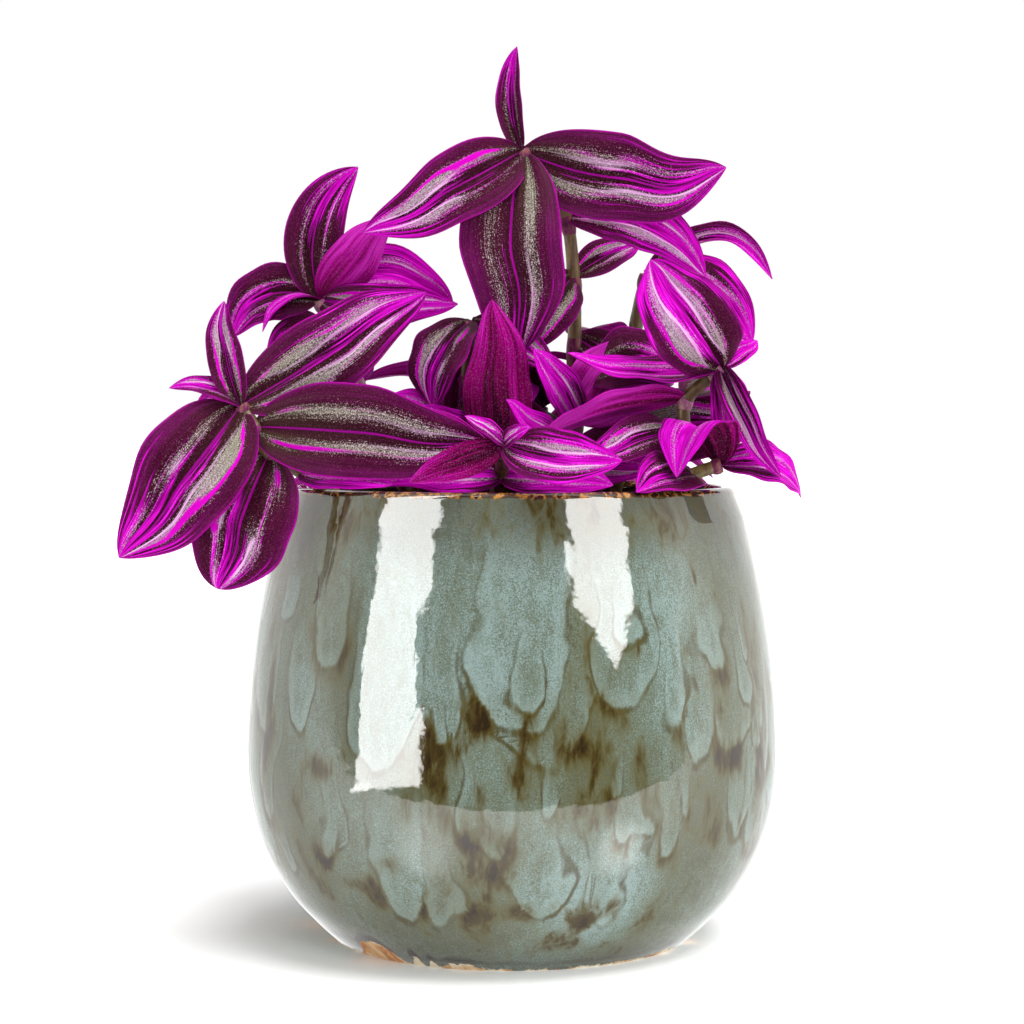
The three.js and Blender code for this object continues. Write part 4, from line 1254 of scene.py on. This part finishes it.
def shoot_pieces(name, joints, rows, number):
    """A shoot's stem, sheaths and leaves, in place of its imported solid."""
    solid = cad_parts[name]
    solid_points = np.array([v.co for v in solid.data.vertices]) / MM
    joints = np.array(joints, float)
    joints[0, 2] += STEM_START
    blades = []
    footed = set()
    for k, (joint, tip, width, faces, arch, sway, bow, fold, look) in enumerate(rows):
        base = joints[joint]
        found = find_turn(solid_points, base, np.array(tip, float), np.array(faces, float), arch, sway, bow)
        if found is None:
            continue
        luck = 0.5 + 0.5 * spread(50 * number + k + 0.37)
        hook = HOOKS.get((name, k), BEND * np.linalg.norm(found[0] - base) * spread(70 * number + k))
        wavy = WAVY.get((name, k), 1.0)
        blades.append(blade(base, *found, width, arch, sway, bow, fold, look, luck, hook, wavy))
        footed.add(joint)
    steps = STEPS_PER_JOINT * (len(joints) - 1)
    line = curve_points(joints, steps)
    place = np.arange(steps + 1) / STEPS_PER_JOINT
    swollen = np.exp(-(((place - np.round(place)) / JOINT_LENGTH) ** 2)) * (place > 0.5)
    radius = STEM_RADIUS + (JOINT_RADIUS - STEM_RADIUS) * swollen
    radius[-len(STEM_END) :] *= STEM_END
    root = joints[0] - np.array([0, 0, STEM_DEPTH])
    path = np.vstack([root, line])
    radii = np.concatenate([[STEM_RADIUS], radius])
    source = path_object(f"{name}_line", [path], [radii])
    stem = grow(source, stems, f"{name}_stem", {"Material": stem_skin})
    bpy.data.objects.remove(source)
    # A leaf's foot wraps the stem just below its joint.
    sheath_paths, sheath_radii = [], []
    for joint in sorted(footed):
        last = joint * STEPS_PER_JOINT
        first = max(0, last - SHEATH_STEPS)
        stretch = line[first : last + 1]
        if len(stretch) < 3:
            continue
        share = np.linspace(0, 1, len(stretch))
        sheath_paths.append(stretch)
        sheath_radii.append(STEM_RADIUS + SHEATH_GAP + SHEATH_SWELL * np.sin(math.pi * share * 0.9))
    source = path_object(f"{name}_feet", sheath_paths, sheath_radii)
    skin = pale_sheath_skin if name in PALE_SHEATHS else dark_sheath_skin
    sheaths = grow(source, stems, f"{name}_sheaths", {"Material": skin})
    bpy.data.objects.remove(source)
    leaves = leaves_piece(f"{name}_leaves", blades)
    leaves.data.materials.append(upper_skin)
    leaves.data.materials.append(under_skin)
    for piece in (stem, sheaths, leaves):
        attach(piece, "root")
        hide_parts(name)


shoots = dict(FRONT_SHOOTS)
for number, heading in enumerate(BACK_HEADINGS):
    shoots[f"shoot_back_{number + 1}"] = back_shoot(heading, number)
for number, (name, (joints, rows)) in enumerate(shoots.items()):
    shoot_pieces(name, joints, rows, number)

# ---- Floor, light and camera ----
# A white floor under soft studio light, seen from a little above the middle of the pot. Two
# strip lights in front show in the glaze. One large light casts the soft shadow on the left, and the
# floor's own glow, dimmed there, deepens it into a painted shadow.
FLOOR_HALF = 10.0
# Middle of the painted shadow, where the floor's glow is weakest.
PAINTED_SHADOW_CENTRE = (-0.025, 0, 0)
# The strips as the pot sees them, in degrees: azimuth from and to, and elevation from and to.
LEFT_STRIP = ((-58, -27), (-2, 82))
RIGHT_STRIP = ((29, 58), (7.5, 75))
RIGHT_POINT = 46
STRIP_SOFTNESS = 0.8
STRIP_LIGHT = 14.0
ROOM_LIGHT = 0.06
# Where each strip is seen again in the paper, and how bright.
PAPER_GLOWS = [((0.65, -0.51, -0.55), 4.4), ((-0.56, -0.62, -0.55), 1.8)]


def floor_piece():
    corners = [(-1, -1), (1, -1), (1, 1), (-1, 1)]
    points = np.array([(x * FLOOR_HALF / MM, y * FLOOR_HALF / MM, 0) for x, y in corners])
    return mesh_object("floor", points, [[0, 1, 2, 3]])


def floor_material():
    """White paper: matt, with only a trace of grain. It glows, less beside the pot's left side, which
    paints a shadow there.
    """
    material, tree, shader = new_material("glowing_paper_with_painted_shadow")
    place = add(tree, "TexCoord", output="Object")
    grain = add(tree, "TexNoise", {"Vector": place, "Scale": 300, "Detail": 2})
    colour = add(tree, "ValToRGB", grain, stops=[(0.4, "#f4f4f4"), (0.6, "#f7f7f7")])
    fill(shader, {"Base Color": colour, "Roughness": 0.9, "Specular IOR Level": 0.0})
    # It glows as if lit through from below on a product table, and the glow dims beside the pot's left side
    # into a painted shadow.
    gap = add(tree, "VectorMath DISTANCE", place, PAINTED_SHADOW_CENTRE, output="Value")
    glow = add(tree, "MapRange", gap, 0.035, 0.1, 0.05, 0.42, **SOFT)
    fill(shader, {"Emission Color": (1, 1, 1, 1), "Emission Strength": glow})
    return material


floor = floor_piece()
floor.data.materials.append(floor_material())
floor.visible_glossy = False


def studio_world():
    """White all round for the eye. In reflections the studio shows: two bright strip lights in
    front, a dark room between them, and white paper below and behind."""
    world = bpy.data.worlds.new("studio")
    bpy.context.scene.world = world
    world.use_nodes = True
    tree = world.node_tree
    tree.nodes.clear()
    way = add(tree, "TexCoord", output="Generated")
    parts = add(tree, "SeparateXYZ", way).node.outputs
    towards_front = add(tree, "Math MULTIPLY", parts["Y"], -1.0)
    azimuth = add(tree, "Math ARCTAN2", parts["X"], towards_front)
    elevation = add(tree, "Math ARCSINE", parts["Z"])

    def between(value, limits):
        """1 between two limits in degrees, with soft edges."""
        low, high, soft = (math.radians(a) for a in (*limits, STRIP_SOFTNESS))
        rise = add(tree, "MapRange", value, low - soft, low + soft, **SOFT)
        fall = add(tree, "MapRange", value, high - soft, high + soft, 1.0, 0.0, **SOFT)
        return add(tree, "Math MULTIPLY", rise, fall)

    # The glaze's uneven surface makes the lights' edges wave.
    wave = add(tree, "TexNoise", {"Vector": way, "Scale": 6, "Detail": 3, "Roughness": 0.6})
    waved = add(tree, "Math MULTIPLY_ADD", wave, 0.4, azimuth)
    # The left light's lower end slants.
    slanted = add(tree, "Math MULTIPLY_ADD", azimuth, -0.14, elevation)
    sides, ends = LEFT_STRIP
    left_strip = add(tree, "Math MULTIPLY", between(waved, sides), between(slanted, ends))
    # The right light ends in a point below.
    past_point = add(tree, "Math ADD", azimuth, math.radians(-RIGHT_POINT))
    off_point = add(tree, "Math ABSOLUTE", past_point)
    pointed = add(tree, "Math MULTIPLY_ADD", off_point, -0.55, elevation)
    sides, ends = RIGHT_STRIP
    right_strip = add(tree, "Math MULTIPLY", between(azimuth, sides), between(pointed, ends))
    strips = add(tree, "Math ADD", left_strip, right_strip)
    # White paper runs from below the front up behind the pot.
    paper_side = add(tree, "Math MULTIPLY", parts["Y"], 0.33)
    paper_depth = add(tree, "Math SUBTRACT", paper_side, parts["Z"])
    paper_below = add(tree, "MapRange", paper_depth, -0.01, 0.01, **SOFT)
    paper_behind = add(tree, "MapRange", parts["Y"], -0.5, 0.1, **SOFT)
    paper = add(tree, "Math MAXIMUM", paper_below, paper_behind)
    paper_light = add(tree, "MapRange", parts["Y"], -0.6, 0.3, 3.0, 1.4)
    # The paper is dimmer close to the pot.
    nearness = add(tree, "MapRange", parts["Z"], -0.85, -0.35, 0.4, 1.0)
    lit_paper = add(tree, "Math MULTIPLY", paper_light, nearness)
    room = add(tree, "Math MULTIPLY_ADD", paper, lit_paper, ROOM_LIGHT)
    # Each strip is seen again, dim and soft, in the paper below it.
    for towards, strength in PAPER_GLOWS:
        facing = add(tree, "VectorMath DOT_PRODUCT", way, towards)
        glow = add(tree, "MapRange", facing, 0.965, 1.0, **SOFT)
        room = add(tree, "Math MULTIPLY_ADD", glow, strength, room)
    reflected = add(tree, "Math MULTIPLY_ADD", strips, STRIP_LIGHT, room)
    # Diffuse light is even, and a little stronger from above.
    soft_light = add(tree, "Math MULTIPLY_ADD", parts["Z"], 0.62, 0.07)
    rays = add(tree, "LightPath").node.outputs
    lit = add(tree, "Mix", {0: rays["Is Glossy Ray"], 2: soft_light, 3: reflected}, data_type="FLOAT")
    seen = add(tree, "Mix", {0: rays["Is Camera Ray"], 2: lit, 3: 1.0}, data_type="FLOAT")
    background = add(tree, "Background", {"Color": (1, 1, 1, 1), "Strength": seen})
    out = tree.nodes.new("ShaderNodeOutputWorld")
    tree.links.new(background, out.inputs["Surface"])


studio_world()


def light(name, kind, power, **settings):
    """A lamp that isn't seen in reflections."""
    lamp = bpy.data.lights.new(name, kind)
    lamp.energy = power
    for key, value in settings.items():
        setattr(lamp, key, value)
    made = new_object(name, lamp)
    made.visible_glossy = False
    return made


# A weak round light in front lifts the leaves' undersides.
FRONT_PLACE = (0.5, -1.3, 0.7)
FRONT_TARGET = (0, 0, 0.15)
FRONT_WATTS = 5
FRONT_SIZE = 0.7
front = light("front_light", "AREA", FRONT_WATTS, shape="DISK", size=FRONT_SIZE)
aim = unit(np.array(FRONT_TARGET, float) - np.array(FRONT_PLACE, float))
front.location = FRONT_PLACE
front.rotation_euler = (math.acos(-aim[2]), 0, math.atan2(aim[0], -aim[1]) + math.pi)

# The key light stands high on the right, and is large, so that the shadow is soft.
KEY_STRENGTH = 2.8
KEY_ANGLE = 36
KEY_ELEVATION = 73
KEY_TILT = 0.1
key = light("key_light", "SUN", KEY_STRENGTH, angle=math.radians(KEY_ANGLE))
key.rotation_euler = (KEY_TILT, math.radians(90 - KEY_ELEVATION), 0)

# The photo's view: a long lens, aimed a little downwards.
FOCAL_LENGTH = 82.6
SENSOR = 36
CAMERA_PLACE = (0, -0.709, 0.1568)
CAMERA_PITCH = 0.042

camera_data = bpy.data.cameras.new("photo_camera")
camera_data.lens = FOCAL_LENGTH
camera_data.sensor_width = SENSOR
camera = new_object("photo_camera", camera_data)
camera.location = CAMERA_PLACE
camera.rotation_euler = (math.pi / 2 - CAMERA_PITCH, 0, 0)
bpy.context.scene.camera = camera
bpy.context.scene.view_settings.view_transform = "Standard"
